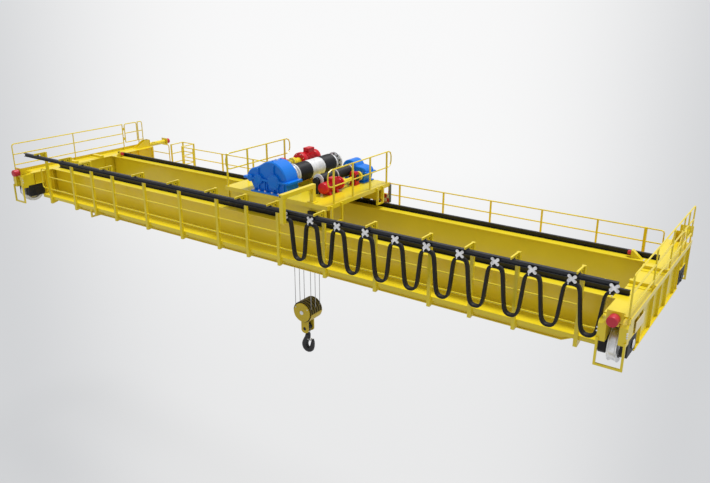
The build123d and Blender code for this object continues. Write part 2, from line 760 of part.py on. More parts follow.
# Hoist gearbox: split casing with a flange, barrel-shaped cover over the drum shaft, feet
axis_z = deck_z + shaft_height
motor_z = deck_z + motor_height
with BuildPart() as hoist_gearbox:
    barrel = [(cos(radians(a)), sin(radians(a))) for a in range(126, -1, -18)]
    cover = [(drum_x + 600 * dx, axis_z + 600 * dz) for dx, dz in barrel]
    cover = [(-690, axis_z), (-600, axis_z + 200), (-500, axis_z + 290), (-270, axis_z + 370)] + cover
    prism_y(cover, gearbox_near, gearbox_far)
    prism_y([(-640, axis_z), (-530, axis_z - 130), (-400, deck_z + 40), (920, deck_z + 40), (900, axis_z)],
            gearbox_near, gearbox_far)
    block((-770, gearbox_near - 50, axis_z - 25), (1050, gearbox_far + 30, axis_z + 25))
    block((-400, gearbox_near - 150, deck_z), (980, gearbox_far + 50, deck_z + 50))
    disc_y(drum_x + 30, axis_z, gearbox_near - 60, gearbox_near, 220)
    disc_y(-270, axis_z, gearbox_near - 60, gearbox_near, 140)
save(hoist_gearbox, "hoist_gearbox")

with BuildPart() as hoist_drum:
    disc_y(drum_x, axis_z, drum_near, drum_near + 180, drum_radius + 30)
    disc_y(drum_x, axis_z, drum_near + 180, drum_far - 110, drum_radius)
    disc_y(drum_x, axis_z, drum_far - 110, drum_far, drum_radius - 35)
    disc_y(drum_x, axis_z, gearbox_far + 30.3, drum_near, 120, count=16)
    disc_y(drum_x, axis_z, drum_far, deck_far - 10, 80, count=16)
save(hoist_drum, "hoist_drum")

with BuildPart() as drum_pedestals:
    for x, y, height, half_width, bore in ((drum_x, drum_far + 60, axis_z, 200, 80.3),
                                           (aux_drum_x, aux_drum_near - 90, deck_z + aux_height, 120, 60.3)):
        foot = [(x - half_width, deck_z), (x + half_width, deck_z), (x + half_width * 0.8, height + 40),
                (x + half_width * 0.4, height + half_width * 0.8), (x - half_width * 0.4, height + half_width * 0.8),
                (x - half_width * 0.8, height + 40)]
        prism_y(foot, y - 40, y + 40)
        disc_y(x, height, y - 60, y + 60, bore, Mode.SUBTRACT, 16, True)
save(drum_pedestals, "drum_pedestals")

with BuildPart() as hoist_motor:
    disc_y(motor_x, motor_z, 800, 1000, motor_radius + 20)
    disc_y(motor_x, motor_z, 1000, 1560, motor_radius)
    disc_y(motor_x, motor_z, 1560, 1700, motor_radius + 10)
    block((motor_x - 200, 880, deck_z), (motor_x + 200, 1500, motor_z - 150))
    block((motor_x - 110, 1180, motor_z + 200), (motor_x + 110, 1520, motor_z + 370))
save(hoist_motor, "hoist_motor")

# Couplings and shafts of both hoists
aux_z = deck_z + aux_height
aux_motor_z = deck_z + aux_motor_height
with BuildPart() as couplings:
    disc_y(motor_x, motor_z, gearbox_far + 0.3, 400, 60, count=16)
    disc_y(motor_x, motor_z, 350, 600, 170)
    disc_y(motor_x, motor_z, 600, 799.7, 120, count=16)
    disc_y(aux_motor_x, aux_motor_z, 50.3, 739.7, 50, count=12)
    disc_y(aux_motor_x, aux_motor_z, 100, 300, 95, count=16)
    disc_y(aux_motor_x, aux_motor_z, 960.3, aux_gearbox_near - 0.3, 50, count=12)
    disc_y(aux_motor_x, aux_motor_z, 1040, 1120, 150)
save(couplings, "couplings")

# Auxiliary hoist: small gearbox, drum, motor, brake and coupling at the right of the deck
with BuildPart() as aux_gearbox:
    barrel = [(cos(radians(a)), sin(radians(a))) for a in range(180, 17, -18)]
    cover = [(1350 + 290 * dx, aux_z + 290 * dz) for dx, dz in barrel]
    cover += [(1880, aux_z + 90), (1990, aux_z - 20), (1970, aux_z - 90), (1900, deck_z + 30), (1160, deck_z + 30),
              (1060, aux_z - 90)]
    prism_y(cover, aux_gearbox_near, aux_gearbox_far)
    block((1010, aux_gearbox_near - 30, aux_z - 90), (2060, aux_gearbox_far + 20, aux_z - 50))
    block((1120, aux_gearbox_near - 50, deck_z), (1960, aux_gearbox_far + 50, deck_z + 35))
save(aux_gearbox, "aux_gearbox")

with BuildPart() as aux_drum:
    disc_y(aux_drum_x, aux_z, aux_drum_near, aux_drum_far, aux_drum_radius)
    disc_y(aux_drum_x, aux_z, aux_drum_near - 140, aux_drum_near, 60, count=16)
    disc_y(aux_drum_x, aux_z, aux_drum_far, aux_gearbox_near - 0.3, 48, count=16)
    for y in (aux_drum_near, 200, aux_drum_far - 25):
        disc_y(aux_drum_x, aux_z, y, y + 25, aux_drum_radius + 50)
save(aux_drum, "aux_drum")

with BuildPart() as aux_motor:
    disc_y(aux_motor_x, aux_motor_z, -850, 0, aux_motor_radius)
    disc_y(aux_motor_x, aux_motor_z, 0, 50, aux_motor_radius + 30)
    block((aux_motor_x - 130, -700, deck_z), (aux_motor_x + 130, -150, aux_motor_z - 100))
    block((aux_motor_x - 90, -480, aux_motor_z + 130), (aux_motor_x + 90, -200, aux_motor_z + 260))
    block((aux_motor_x - 120, 740, deck_z), (aux_motor_x + 120, 960, aux_motor_z + 190))
save(aux_motor, "aux_motor")

# Trolley travel drive at the back left of the deck
with BuildPart() as travel_drive:
    disc_y(-1150, deck_z + 260, 500, 1050, 150)
    disc_y(-1150, deck_z + 260, 1050, 1400, 120)
    block((-1300, 550, deck_z), (-1000, 1300, deck_z + 160))
    block((-1240, 620, deck_z + 380), (-1060, 850, deck_z + 500))
save(travel_drive, "travel_drive")


# Trolley railings: D-shaped frames of two rails on four posts at both sides of the deck
def trolley_railing(x, y0, y1, posts):
    low = deck_z + 520
    high = deck_z + 1030
    pipe([(x, (y0 + y1) / 2, high), (x, y1, high), (x, y1, low), (x, y0, low), (x, y0, high),
          (x, (y0 + y1) / 2, high)], pipe_radius, 170)
    for y in posts:
        block((x - 22, y - 22, deck_z), (x + 22, y + 22, high))


with BuildPart() as trolley_railings:
    trolley_railing(deck_x0 + 40, -1600, 1560, (-1550, -600, 350, 1280))
    trolley_railing(deck_x1 - 40, -1560, 1860, (-1270, -300, 640, 1600))
save(trolley_railings, "trolley_railings")

# Tow arm: post on the deck edge, beam out over the festoon, leg down to the towed carrier
tow_x = 1940
tow_beam_z = deck_z + 440
tow_leg_y = festoon_y - 260
with BuildPart() as tow_arm:
    block((tow_x - 120, -1630, deck_z), (tow_x + 120, -1390, deck_z + 20))
    block((tow_x - 50, -1560, deck_z), (tow_x + 50, -1460, tow_beam_z + 40))
    block((tow_x - 40, tow_leg_y - 40, tow_beam_z - 40), (tow_x + 40, -1460, tow_beam_z + 40))
    block((tow_x - 40, tow_leg_y - 40, festoon_beam_top - 330), (tow_x + 40, tow_leg_y + 40, tow_beam_z))
    prism_x([(-1560, tow_beam_z - 40), (-1560, tow_beam_z - 240), (-1760, tow_beam_z - 40)], tow_x - 8, tow_x + 8)
    prism_x([(tow_leg_y + 40, tow_beam_z - 40), (tow_leg_y + 40, tow_beam_z - 200), (tow_leg_y + 200, tow_beam_z - 40)],
            tow_x - 8, tow_x + 8)
save(tow_arm, "tow_arm")

# Plate on the far right corner of the trolley, beside its wheel
with BuildPart() as end_plate:
    block((trolley_axles[1] - 10, deck_far, girder_top + 10), (deck_x1 - 60, deck_far + 20, girder_top + 310))
    block((deck_x1 - 60, deck_far, girder_top + 10), (deck_x1, deck_far + 40, deck_z))
    block((trolley_axles[1] + 100, deck_far, girder_top + 310), (trolley_axles[1] + 200, deck_far + 20, deck_z))
save(end_plate, "end_plate")

# Hook block: side plates with straps, sheaves on a pin, trunnion, swivelling hook and latch
half_stack = sheave_count * sheave_pitch / 2
trunnion_z = block_z - trunnion_drop
with BuildPart() as block_plates:
    for side in sides:
        low = side * (half_stack + plate_thick / 2) - plate_thick / 2
        disc_y(rope_x, block_z, low, low + plate_thick, plate_radius)
        block((rope_x - strap_width / 2, low, trunnion_z - 120), (rope_x + strap_width / 2, low + plate_thick, block_z))
        disc_y(rope_x, block_z, low - 1, low + plate_thick + 1, pin_radius + 0.3, Mode.SUBTRACT, 16)
        disc_y(rope_x, trunnion_z, low - 1, low + plate_thick + 1, trunnion_radius + 0.3, Mode.SUBTRACT, 16)
    for x in (rope_x - 110, rope_x + 110):
        disc_y(x, block_z - 490, -half_stack, half_stack, 20, count=8)
save(block_plates, "block_plates")

with BuildPart() as block_sheaves:
    for y in sheave_rows:
        sheave(rope_x, y, block_z, pin_radius - 5)
    disc_y(rope_x, block_z, -half_stack - plate_thick - 25, half_stack + plate_thick + 25, pin_radius, count=16)
save(block_sheaves, "block_sheaves")

with BuildPart() as hook_trunnion:
    disc_y(rope_x, trunnion_z, -half_stack - plate_thick, half_stack + plate_thick, trunnion_radius, count=16)
    block((rope_x - 120, -half_stack + 40, trunnion_z - 90), (rope_x + 120, half_stack - 40, trunnion_z + 90))
    with BuildSketch(Plane.XY.offset(trunnion_z - 200)) as bore:
        with Locations((rope_x, 0)):
            ngon(70, 16, True)
    extrude(bore.sketch, amount=400, mode=Mode.SUBTRACT)
save(hook_trunnion, "hook_trunnion")

hook_z = trunnion_z - hook_drop
hook_back = [(-70, 430), (-82, 310), (-170, 215), (-252, 90), (-268, -40), (-205, -178), (-75, -262), (70, -265),
             (200, -195), (265, -60), (276, 70), (262, 190), (218, 300)]
hook_seat = [(192, 292), (166, 190), (142, 80), (122, -20), (84, -92), (0, -125), (-86, -90), (-125, 0), (-108, 65),
             (-58, 128), (0, 182), (50, 240), (70, 320), (70, 430)]
latch_x = rope_x + 45
latch_z = hook_z + 272
with BuildPart() as hook:
    with BuildSketch(Plane.XZ):
        with BuildLine():
            Polyline(*[(rope_x + dx, hook_z + dz) for dx, dz in hook_back + hook_seat], close=True)
        make_face()
    extrude(amount=hook_thick / 2, both=True)
    for low, high, radius in ((-315, 185, 69.7), (90.3, 160.3, 110)):
        with BuildSketch(Plane.XY.offset(trunnion_z + low)) as ring:
            with Locations((rope_x, 0)):
                ngon(radius, 16)
        extrude(ring.sketch, amount=high - low)
    disc_y(latch_x, latch_z, -hook_thick / 2 - 14, hook_thick / 2 + 14, 12, count=12)
save(hook, "hook")

with BuildPart() as hook_latch:
    with BuildSketch(Plane.XZ) as latch_face:
        with BuildLine():
            Polyline((latch_x - 10, latch_z + 20), (latch_x + 118, latch_z - 12), (latch_x + 110, latch_z - 44),
                     (latch_x - 16, latch_z - 22), close=True)
        make_face()
        with Locations((latch_x, latch_z)):
            ngon(26, 12)
    extrude(amount=hook_thick / 2 + 14, both=True)
    block((latch_x - 60, -hook_thick / 2 - 2, latch_z - 80), (latch_x + 62, hook_thick / 2 + 2, latch_z + 60),
          mode=Mode.SUBTRACT)
    block((latch_x, -hook_thick, latch_z - 16), (latch_x + 140, hook_thick, latch_z + 60), mode=Mode.SUBTRACT)
    disc_y(latch_x, latch_z, -100, 100, 12.05, Mode.SUBTRACT, 12, True)
save(hook_latch, "hook_latch")
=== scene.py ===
import json
import math
import bpy
import numpy as np
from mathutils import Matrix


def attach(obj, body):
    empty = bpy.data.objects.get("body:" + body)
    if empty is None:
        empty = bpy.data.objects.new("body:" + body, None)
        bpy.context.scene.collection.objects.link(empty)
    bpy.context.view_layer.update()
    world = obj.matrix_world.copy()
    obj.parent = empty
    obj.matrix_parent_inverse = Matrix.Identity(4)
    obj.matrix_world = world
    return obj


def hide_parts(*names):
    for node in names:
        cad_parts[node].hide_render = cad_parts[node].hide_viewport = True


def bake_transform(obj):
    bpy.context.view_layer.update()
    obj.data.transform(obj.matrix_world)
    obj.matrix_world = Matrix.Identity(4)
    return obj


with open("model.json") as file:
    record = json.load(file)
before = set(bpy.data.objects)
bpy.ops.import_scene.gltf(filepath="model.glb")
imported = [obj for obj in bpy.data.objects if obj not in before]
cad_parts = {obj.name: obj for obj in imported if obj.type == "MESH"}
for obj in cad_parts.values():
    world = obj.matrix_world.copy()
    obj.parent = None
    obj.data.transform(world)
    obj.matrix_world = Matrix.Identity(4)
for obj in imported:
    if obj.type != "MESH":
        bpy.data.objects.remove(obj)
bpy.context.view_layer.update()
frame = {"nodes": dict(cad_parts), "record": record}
nodes = frame["nodes"]


# A socket that can stand in sums: 1 - mask, speckle * 0.2 + 0.5 and so on
class Wire:
    def __init__(self, board, socket):
        self.board = board
        self.socket = socket

    def maths(self, operation, a, b):
        return self.board.node("ShaderNodeMath", {"operation": operation}, {0: a, 1: b})

    def __add__(self, other):
        return self.maths("ADD", self, other)

    def __radd__(self, other):
        return self.maths("ADD", other, self)

    def __sub__(self, other):
        return self.maths("SUBTRACT", self, other)

    def __rsub__(self, other):
        return self.maths("SUBTRACT", other, self)

    def __mul__(self, other):
        return self.maths("MULTIPLY", self, other)

    def __rmul__(self, other):
        return self.maths("MULTIPLY", other, self)

    def __truediv__(self, other):
        return self.maths("DIVIDE", self, other)

    def __mod__(self, other):
        return self.maths("FLOORED_MODULO", self, other)

    def __gt__(self, other):
        return self.maths("GREATER_THAN", self, other)


# The board on which one material's nodes are laid out
class Board:
    def __init__(self, name):
        self.material = bpy.data.materials.new(name)
        self.material.use_nodes = True
        self.tree = self.material.node_tree
        self.tree.nodes.clear()
        self.shader = self.tree.nodes.new("ShaderNodeBsdfPrincipled")
        self.output = self.tree.nodes.new("ShaderNodeOutputMaterial")
        self.tree.links.new(self.shader.outputs["BSDF"], self.output.inputs["Surface"])
        coordinates = self.tree.nodes.new("ShaderNodeTexCoord")
        self.place = Wire(self, coordinates.outputs["Object"])

    # Any node: its settings first, then the values or links of its sockets
    def node(self, kind, settings, values, output=0):
        made = self.tree.nodes.new(kind)
        for key, value in settings.items():
            setattr(made, key, value)
        for key, value in values.items():
            self.feed(made.inputs[key], value)
        return Wire(self, made.outputs[output])

    def feed(self, socket, value):
        if isinstance(value, Wire):
            self.tree.links.new(value.socket, socket)
        elif isinstance(value, (tuple, list)) and len(value) == 3 and socket.type == "RGBA":
            socket.default_value = (*value, 1)
        else:
            socket.default_value = value

    def noise(self, scale, detail=3.0, rough=0.5, stretch=None):
        place = self.place
        if stretch:
            place = self.node("ShaderNodeMapping", {}, {"Vector": self.place, "Scale": stretch})
        values = {"Vector": place, "Scale": scale, "Detail": detail, "Roughness": rough}
        return self.node("ShaderNodeTexNoise", {"noise_dimensions": "3D"}, values)

    def mix(self, factor, a, b):
        return self.node("ShaderNodeMix", {"data_type": "RGBA"}, {0: factor, 6: a, 7: b}, 2)

    def along(self, axis):
        return self.node("ShaderNodeSeparateXYZ", {}, {0: self.place}, "XYZ".index(axis))

    def range(self, value, low, high):
        return self.node("ShaderNodeMapRange", {"interpolation_type": "SMOOTHSTEP"}, {0: value, 1: low, 2: high})

    def set(self, **sockets):
        for key, value in sockets.items():
            self.feed(self.shader.inputs[key.replace("_", " ")], value)

    def bump(self, height, strength, distance):
        made = self.node("ShaderNodeBump", {}, {"Strength": strength, "Distance": distance, "Height": height})
        self.tree.links.new(made.socket, self.shader.inputs["Normal"])


print("stage: materials")

paint = {
    "yellow": (0.84, 0.66, 0.016),
    "blue": (0.002, 0.19, 0.76),
    "red": (0.62, 0.005, 0.016),
    "black": (0.012, 0.012, 0.014),
    "olive": (0.66, 0.49, 0.03),
    "darkOlive": (0.15, 0.115, 0.015),
    "dust": (0.45, 0.40, 0.30),
    "grime": (0.10, 0.08, 0.03),
}


# Sprayed enamel: slow drift of colour, fine orange peel, thin dust in streaks and a few specks of grime
def enamel(name, colour, rough=0.28, coat=0.2, dust=0.03, shine=0.5):
    board = Board(name)
    drift = board.noise(0.9, 4.0, 0.6)
    streaks = board.noise(2.2, 5.0, 0.6, (1.0, 1.0, 0.18))
    specks = board.noise(9.0, 6.0, 0.7)
    fine = board.noise(900.0, 2.0, 0.5)
    dull = board.range(streaks, 0.5, 0.8) * dust
    grime = board.range(specks, 0.62, 0.8) * (dust * 0.5)
    deeper = tuple(c * 0.95 for c in colour)
    base = board.mix(board.range(drift, 0.35, 0.65), deeper, colour)
    dusty = board.mix(dull, base, paint["dust"])
    board.set(Base_Color=board.mix(grime, dusty, paint["grime"]), Roughness=rough + dull * 1.2 + fine * 0.04,
              Coat_Weight=coat, Coat_Roughness=0.08, Specular_IOR_Level=shine)
    board.bump(fine, 0.05, 0.0006)
    return board.material


# Bare or worked metal: grain stretched along one direction, darker patches
def metal(name, colour, rough=0.3, metallic=1.0, grain=(1, 1, 1)):
    board = Board(name)
    lines = board.noise(160.0, 3.0, 0.6, grain)
    spots = board.noise(6.0, 5.0, 0.65)
    darker = tuple(c * 0.72 for c in colour)
    board.set(Base_Color=board.mix(board.range(spots, 0.35, 0.7), darker, colour), Metallic=metallic,
              Roughness=rough + lines * 0.15)
    board.bump(lines, 0.15, 0.0005)
    return board.material


# Rubber: a fine dull grain and slow patches of a slightly paler colour
def rubber(name, colour, rough=0.5, shine=0.5):
    board = Board(name)
    grain = board.noise(300.0, 3.0, 0.6)
    patches = board.noise(3.0, 4.0, 0.6)
    pale = tuple(c * 1.15 + 0.006 for c in colour)
    board.set(Base_Color=board.mix(patches, colour, pale), Roughness=rough + grain * 0.15,
              Specular_IOR_Level=shine)
    board.bump(grain, 0.2, 0.0008)
    return board.material


# Red and white squares of one size, counted along X and Z
def squares(name, size, first, second):
    board = Board(name)
    column = (board.along("X") / size) % 2.0 > 1.0
    row = (board.along("Z") / size) % 2.0 > 1.0
    odd = column + row - column * row * 2.0
    wear = board.noise(14.0, 5.0, 0.7)
    pattern = board.mix(odd, first, second)
    board.set(Base_Color=board.mix(board.range(wear, 0.6, 0.85) * 0.35, pattern, paint["dust"]), Roughness=0.4)
    return board.material


finishes = {
    "yellow_paint": enamel("yellowEnamel", paint["yellow"]),
    "blue_paint": enamel("blueEnamel", paint["blue"], 0.32, 0.1, 0.0, shine=0.3),
    "red_paint": enamel("redEnamel", paint["red"], 0.32, 0.1, 0.0, shine=0.3),
    "red_rubber": rubber("redBuffer", (0.50, 0.015, 0.035), 0.35),
    "black_paint": enamel("blackEnamel", paint["black"], 0.5, 0.0, 0.02, shine=0.3),
    "dark_steel": metal("railSteel", (0.03, 0.03, 0.034), 0.35, 0.6, (0.05, 1, 1)),
    "grey_steel": metal("beamSteel", (0.035, 0.038, 0.048), 0.35, 0.4, (0.05, 1, 1)),
    "striped_paint": squares("warningSquares", 0.13, (0.55, 0.02, 0.03), (0.75, 0.74, 0.72)),
    "olive_paint": enamel("blockEnamel", paint["olive"], 0.4, 0.05, shine=0.3),
    "cover_paint": enamel("coverEnamel", paint["darkOlive"], 0.45, 0.0, shine=0.3),
    "forged_steel": metal("forgedSteel", (0.028, 0.028, 0.03), 0.45, 0.3),
    "bright_steel": metal("galvanisedSteel", (0.92, 0.925, 0.93), 0.35, 0.15),
    "wire_rope": metal("wireRope", (0.50, 0.50, 0.51), 0.4, 0.3),
    "black_rubber": rubber("cableRubber", (0.008, 0.008, 0.009), 0.45, 0.3),
    "machined_steel": metal("machinedSteel", (0.86, 0.87, 0.88), 0.28, 0.85),
    "carrier_plate": metal("carrierPlate", (0.95, 0.95, 0.96), 0.3, 0.9),
    "white_paint": enamel("whiteEnamel", (0.88, 0.88, 0.88), 0.3, 0.2, 0.02),
    # Cream enamel, also the colour of the plate that paints a reflection of light on the right end carriage's outer
    # web
    "cream_paint": enamel("creamEnamel", (0.86, 0.74, 0.42), 0.35, 0.1),
    "plate_paint": enamel("slateEnamel", (0.20, 0.24, 0.30), 0.35, 0.2, 0.08),
}

slotOf = {entry["node"]: entry["material_slot"] for entry in frame["record"]["subparts"]}
for name, thing in nodes.items():
    thing.data.materials.clear()
    thing.data.materials.append(finishes[slotOf[name]])

print("stage: shapes")


# Vectors of length one: each divided by its length
def unit(vectors):
    return vectors / (np.linalg.norm(vectors, axis=-1, keepdims=True) + 1e-12)


# The three directions of an axis, along it and the two across it; a small letter points the other way
def directions(axis):
    forward, first, second = np.roll(np.eye(3), -"XYZ".index(axis.upper()), axis=0)
    return (-forward, second, first) if axis.islower() else (forward, first, second)


# The spokes of a circle, cos t * first + sin t * second, at even steps of the angle t
def spokes(first, second, count, start=0.0):
    t = np.linspace(0, 2 * np.pi, count, endpoint=False)[:, None] + start
    return np.cos(t) * first + np.sin(t) * second


# A piece made of several closed shells; each shell has a finish, the first one if none is named
class Piece:
    def __init__(self, name, *slots):
        self.name = name
        self.slots = slots
        self.points = []
        self.faces = []
        self.marks = []
        self.count = 0

    # A tube of rings of points, closed by a cap at each end; flipped turns its faces round
    def tube(self, rings, slot=None, flipped=False):
        index = np.arange(rings.shape[0] * rings.shape[1]).reshape(rings.shape[:2])
        turn = np.roll(index, -1, axis=1)
        corners, caps = [index[:-1], turn[:-1], turn[1:], index[1:]], [index[:1, ::-1], index[-1:]]
        if flipped:
            corners, caps = [index[:-1], index[1:], turn[1:], turn[:-1]], [index[:1], index[-1:, ::-1]]
        for block in [np.stack(corners, axis=-1).reshape(-1, 4), *caps]:
            self.faces += (block + self.count).tolist()
            self.marks += [self.slots.index(slot or self.slots[0])] * len(block)
        self.points.append(rings.reshape(-1, 3))
        self.count += index.size

    # A turned shell: at (along, radius) on the profile and angle t the point is
    # centre + along * axis + radius * (cos t * first + sin t * second)
    def turn(self, profile, centre, count=48, slot=None, axis="Y"):
        forward, first, second = directions(axis)
        along, radius = np.array(profile, float).T[:, :, None, None]
        self.tube(along * forward + radius * spokes(first, second, count) + centre, slot)

    # A casting: an outline across the axis, in (first, second) coordinates, carried from low to high, with its
    # rims cut back by edge; an outline that runs clockwise is turned round
    def cast(self, outline, low, high, edge=0.0, slot=None, axis="Y"):
        forward, first, second = directions(axis)
        flat = np.asarray(outline, float)
        after = np.roll(flat, -1, axis=0)
        if np.sum(flat[:, 0] * after[:, 1] - after[:, 0] * flat[:, 1]) < 0:
            flat = flat[::-1]
        back, ahead = unit(flat - np.roll(flat, 1, axis=0)), unit(np.roll(flat, -1, axis=0) - flat)
        inward = unit((back + ahead)[:, ::-1] * (-1, 1))
        slant = np.maximum(0.35, np.abs(inward[:, 1:] * ahead[:, :1] - inward[:, :1] * ahead[:, 1:]))
        small = flat + inward * edge / slant
        rings = [(low, flat), (high, flat)]
        if edge:
            rings = [(low, small), (low + edge, flat), (high - edge, flat), (high, small)]
        self.tube(np.stack([h * forward + ring[:, :1] * first + ring[:, 1:] * second for h, ring in rings]), slot)

    # A chamfered box between two corners
    def box(self, low, high, edge=0.004, slot=None):
        (x0, y0, z0), (x1, y1, z1) = low, high
        self.cast([(x0, y0), (x1, y0), (x1, y1), (x0, y1)], z0, z1, edge, slot, "Z")

    # A section carried along a path: its two coordinates go along the side vector and along the cross product of
    # the path's direction and the side vector
    def carry(self, path, section, side):
        path = np.asarray(path, float)
        direction = unit(np.gradient(path, axis=0))
        side = unit(side - np.sum(np.multiply(side, direction), axis=1)[:, None] * direction)[:, None]
        other = np.cross(direction[:, None], side)
        self.tube(path[:, None] + section[None, :, :1] * side + section[None, :, 1:] * other)

    # Hexagonal bolt heads: six corners just under the seat and six at the top
    def heads(self, seats, axis, radius, height, slot=None):
        forward, first, second = directions(axis)
        ring = radius * spokes(first, second, 6)
        for seat in seats:
            self.tube(np.stack([ring - 0.001 * forward, ring + height * forward]) + seat, slot)

    # A ring of bolt heads: count places on a circle about the centre, at the distance across from it
    def ring(self, centre, axis, across, count, radius, height, slot=None, start=0.0):
        forward, first, second = directions(axis.upper())
        self.heads(centre + across * spokes(first, second, count, start), axis, radius, height, slot)

    # Faces closer than the angle are shaded as one surface
    def build(self, body, replaced=(), angle=32.0):
        mesh = bpy.data.meshes.new(self.name)
        mesh.from_pydata(np.concatenate(self.points).tolist(), [], self.faces)
        mesh.polygons.foreach_set("material_index", np.array(self.marks, np.int32))
        mesh.polygons.foreach_set("use_smooth", np.ones(len(self.faces), bool))
        for slot in self.slots:
            mesh.materials.append(finishes[slot])
        mesh.validate()
        mesh.set_sharp_from_angle(angle=math.radians(angle))
        mesh.update()
        thing = bpy.data.objects.new(self.name, mesh)
        bpy.context.scene.collection.objects.link(thing)
        if replaced:
            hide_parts(*replaced)
        if body:
            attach(thing, body)
        return thing


# Points (z + r sin t, x + r cos t) of an arc for an outline across Y, from one angle in degrees to another
def arc(x, z, radius, first, last, count):
    t = np.radians(np.linspace(first, last, count))
    return list(zip(z + radius * np.sin(t), x + radius * np.cos(t)))


# An outline in (x, z) in the (z, x) order of an outline across Y
def swapped(outline):
    return [(z, x) for x, z in outline]


# An outline across Y that is the same on both sides of x, from its half in (z, distance from x)
def evenly(x, half):
    return [(z, x - reach) for z, reach in half] + [(z, x + reach) for z, reach in reversed(half)]


# The profile of a round bar from low to high, its two rims chamfered by edge
def chamfered(low, high, radius, edge):
    return [(low, radius - edge), (low + edge, radius), (high - edge, radius), (high, radius - edge)]


# A profile turned to face along its axis (1) or against it (-1)
def facing(profile, sign):
    return [(sign * along, radius) for along, radius in profile][::sign]


# A clamped rational quadratic spline: pieces of ((1-t)^2 a + 2wt(1-t) b + t^2 c) / ((1-t)^2 + 2wt(1-t) + t^2)
# between the middles of the route's inner runs; the weight w draws the line towards the corner b
def eased(route, steps=8, weights=1.0):
    route = np.asarray(route, float)
    middle = (route[1:-2] + route[2:-1]) / 2
    start = np.concatenate([route[:1], middle])[:, None]
    end = np.concatenate([middle, route[-1:]])[:, None]
    t = np.linspace(0, 1, steps, endpoint=False)[None, :, None]
    w = np.broadcast_to(np.asarray(weights, float), len(route) - 2)[:, None, None]
    share = (1 - t) ** 2 + 2 * w * t * (1 - t) + t ** 2
    curve = ((1 - t) ** 2 * start + 2 * w * t * (1 - t) * route[1:-1][:, None] + t ** 2 * end) / share
    return np.concatenate([curve.reshape(-1, route.shape[1]), route[-1:]])


print("stage: wheels and buffers")

bridgeWheel = {
    "x": 11.25,
    "y": 2.5,
    "profile": {"radius": 0.4, "flange": 0.425, "width": 0.21, "tread": 0.12, "web": 0.032, "hub": 0.125,
                "axle": 0.0699, "reach": 0.31, "dish": 0.085},
    "bolts": (0.1145, 0.1, 6),
    "places": {"near_left": (-1, -1), "near_right": (1, -1), "far_left": (-1, 1), "far_right": (1, 1)},
}

# Half of a wheel's profile from the axle end to the middle, mirrored for the other half
def wheelProfile(radius, flange, width, tread, web, hub, axle, reach, dish):
    half = width / 2
    side = [(-reach, axle), (-half - 0.01, axle), (-half - 0.01, hub), (-web - 0.01, hub + 0.012), (-web, hub + 0.03),
            (-web, radius - dish - 0.02), (-web - 0.01, radius - dish), (-half, radius - dish + 0.005),
            (-half, flange - 0.006), (-half + 0.006, flange), (-tread / 2 - 0.022, flange),
            (-tread / 2 - 0.004, radius + 0.004), (-tread / 2, radius)]
    return side + facing(side, -1)


v = bridgeWheel
trackX, trackY, axleHeight = v["x"], v["y"], v["profile"]["radius"]
for place, (right, far) in v["places"].items():
    x, y = right * trackX, far * trackY
    wheel = Piece("trackWheel." + place, "machined_steel", "dark_steel")
    wheel.turn(wheelProfile(**v["profile"]), (x, y, axleHeight), 72, axis="X")
    reach, radius, count = v["bolts"]
    for side in (-1, 1):
        wheel.ring((x + side * reach, y, axleHeight), "xX"[side > 0], radius, count, 0.013, 0.012, "dark_steel")
    wheel.build("wheel_" + place, ["wheel_" + place])

trolleyWheel = {
    "profile": {"radius": 0.2, "flange": 0.22, "width": 0.13, "tread": 0.086, "web": 0.02, "hub": 0.075,
                "axle": 0.0459, "reach": 0.14, "dish": 0.045},
    "height": 1.45,
    "x": {"left": -0.865, "right": 1.925},
    "track": 1.4,
    "cap": [(0.1305, 0.035), (0.1395, 0.035)],
    "shaft": [(-1.3, 0.0398), (1.3, 0.0398)],
}
v = trolleyWheel
for place, x in v["x"].items():
    pair = Piece("trolleyWheelset." + place, "machined_steel", "dark_steel", "bright_steel")
    profile = wheelProfile(**v["profile"])
    for side in (-1, 1):
        pair.turn(profile, (x, side * v["track"], v["height"]), 56, "dark_steel")
        pair.turn(facing(v["cap"], side), (x, side * v["track"], v["height"]), 24, "bright_steel")
    pair.turn(v["shaft"], (x, 0, v["height"]), 24)
    pair.build("trolley_wheels_" + place, ["trolley_wheels_" + place])

buffer = {
    "radius": 0.13,
    "length": 0.275,
    "face": -2.92,
    "height": 1.17,
    "far": (4.25, 0.22, 0.12),
    "stop": (10.48, 0.1, 0.062, 1.24, 1.235),
}

# A rubber buffer: a base collar, a waist and a rounded nose, from the seat at 0 out to its length
def bufferProfile(radius, length, sign):
    return facing([(0, radius), (0.012, radius), (0.018, radius * 0.95), (length - 0.05, radius * 0.97),
                   (length - 0.03, radius * 0.955), (length - 0.013, radius * 0.9), (length - 0.003, radius * 0.8),
                   (length, radius * 0.68)], sign)


v = buffer
pads = Piece("bufferPads", "red_rubber")
for side in (-1, 1):
    x = side * trackX
    pads.turn(bufferProfile(v["radius"], v["length"], -1), (x, v["face"], v["height"]), 48)
    y, length, radius = v["far"]
    pads.turn(bufferProfile(radius, length, 1), (x, y, v["height"]), 40)
    stopX, length, radius, stopY, stopZ = v["stop"]
    for end in (-1, 1):
        pads.turn(bufferProfile(radius, length, -end), (end * stopX, side * stopY, stopZ), 32, axis="X")
pads.build("bridge", ["buffers"])

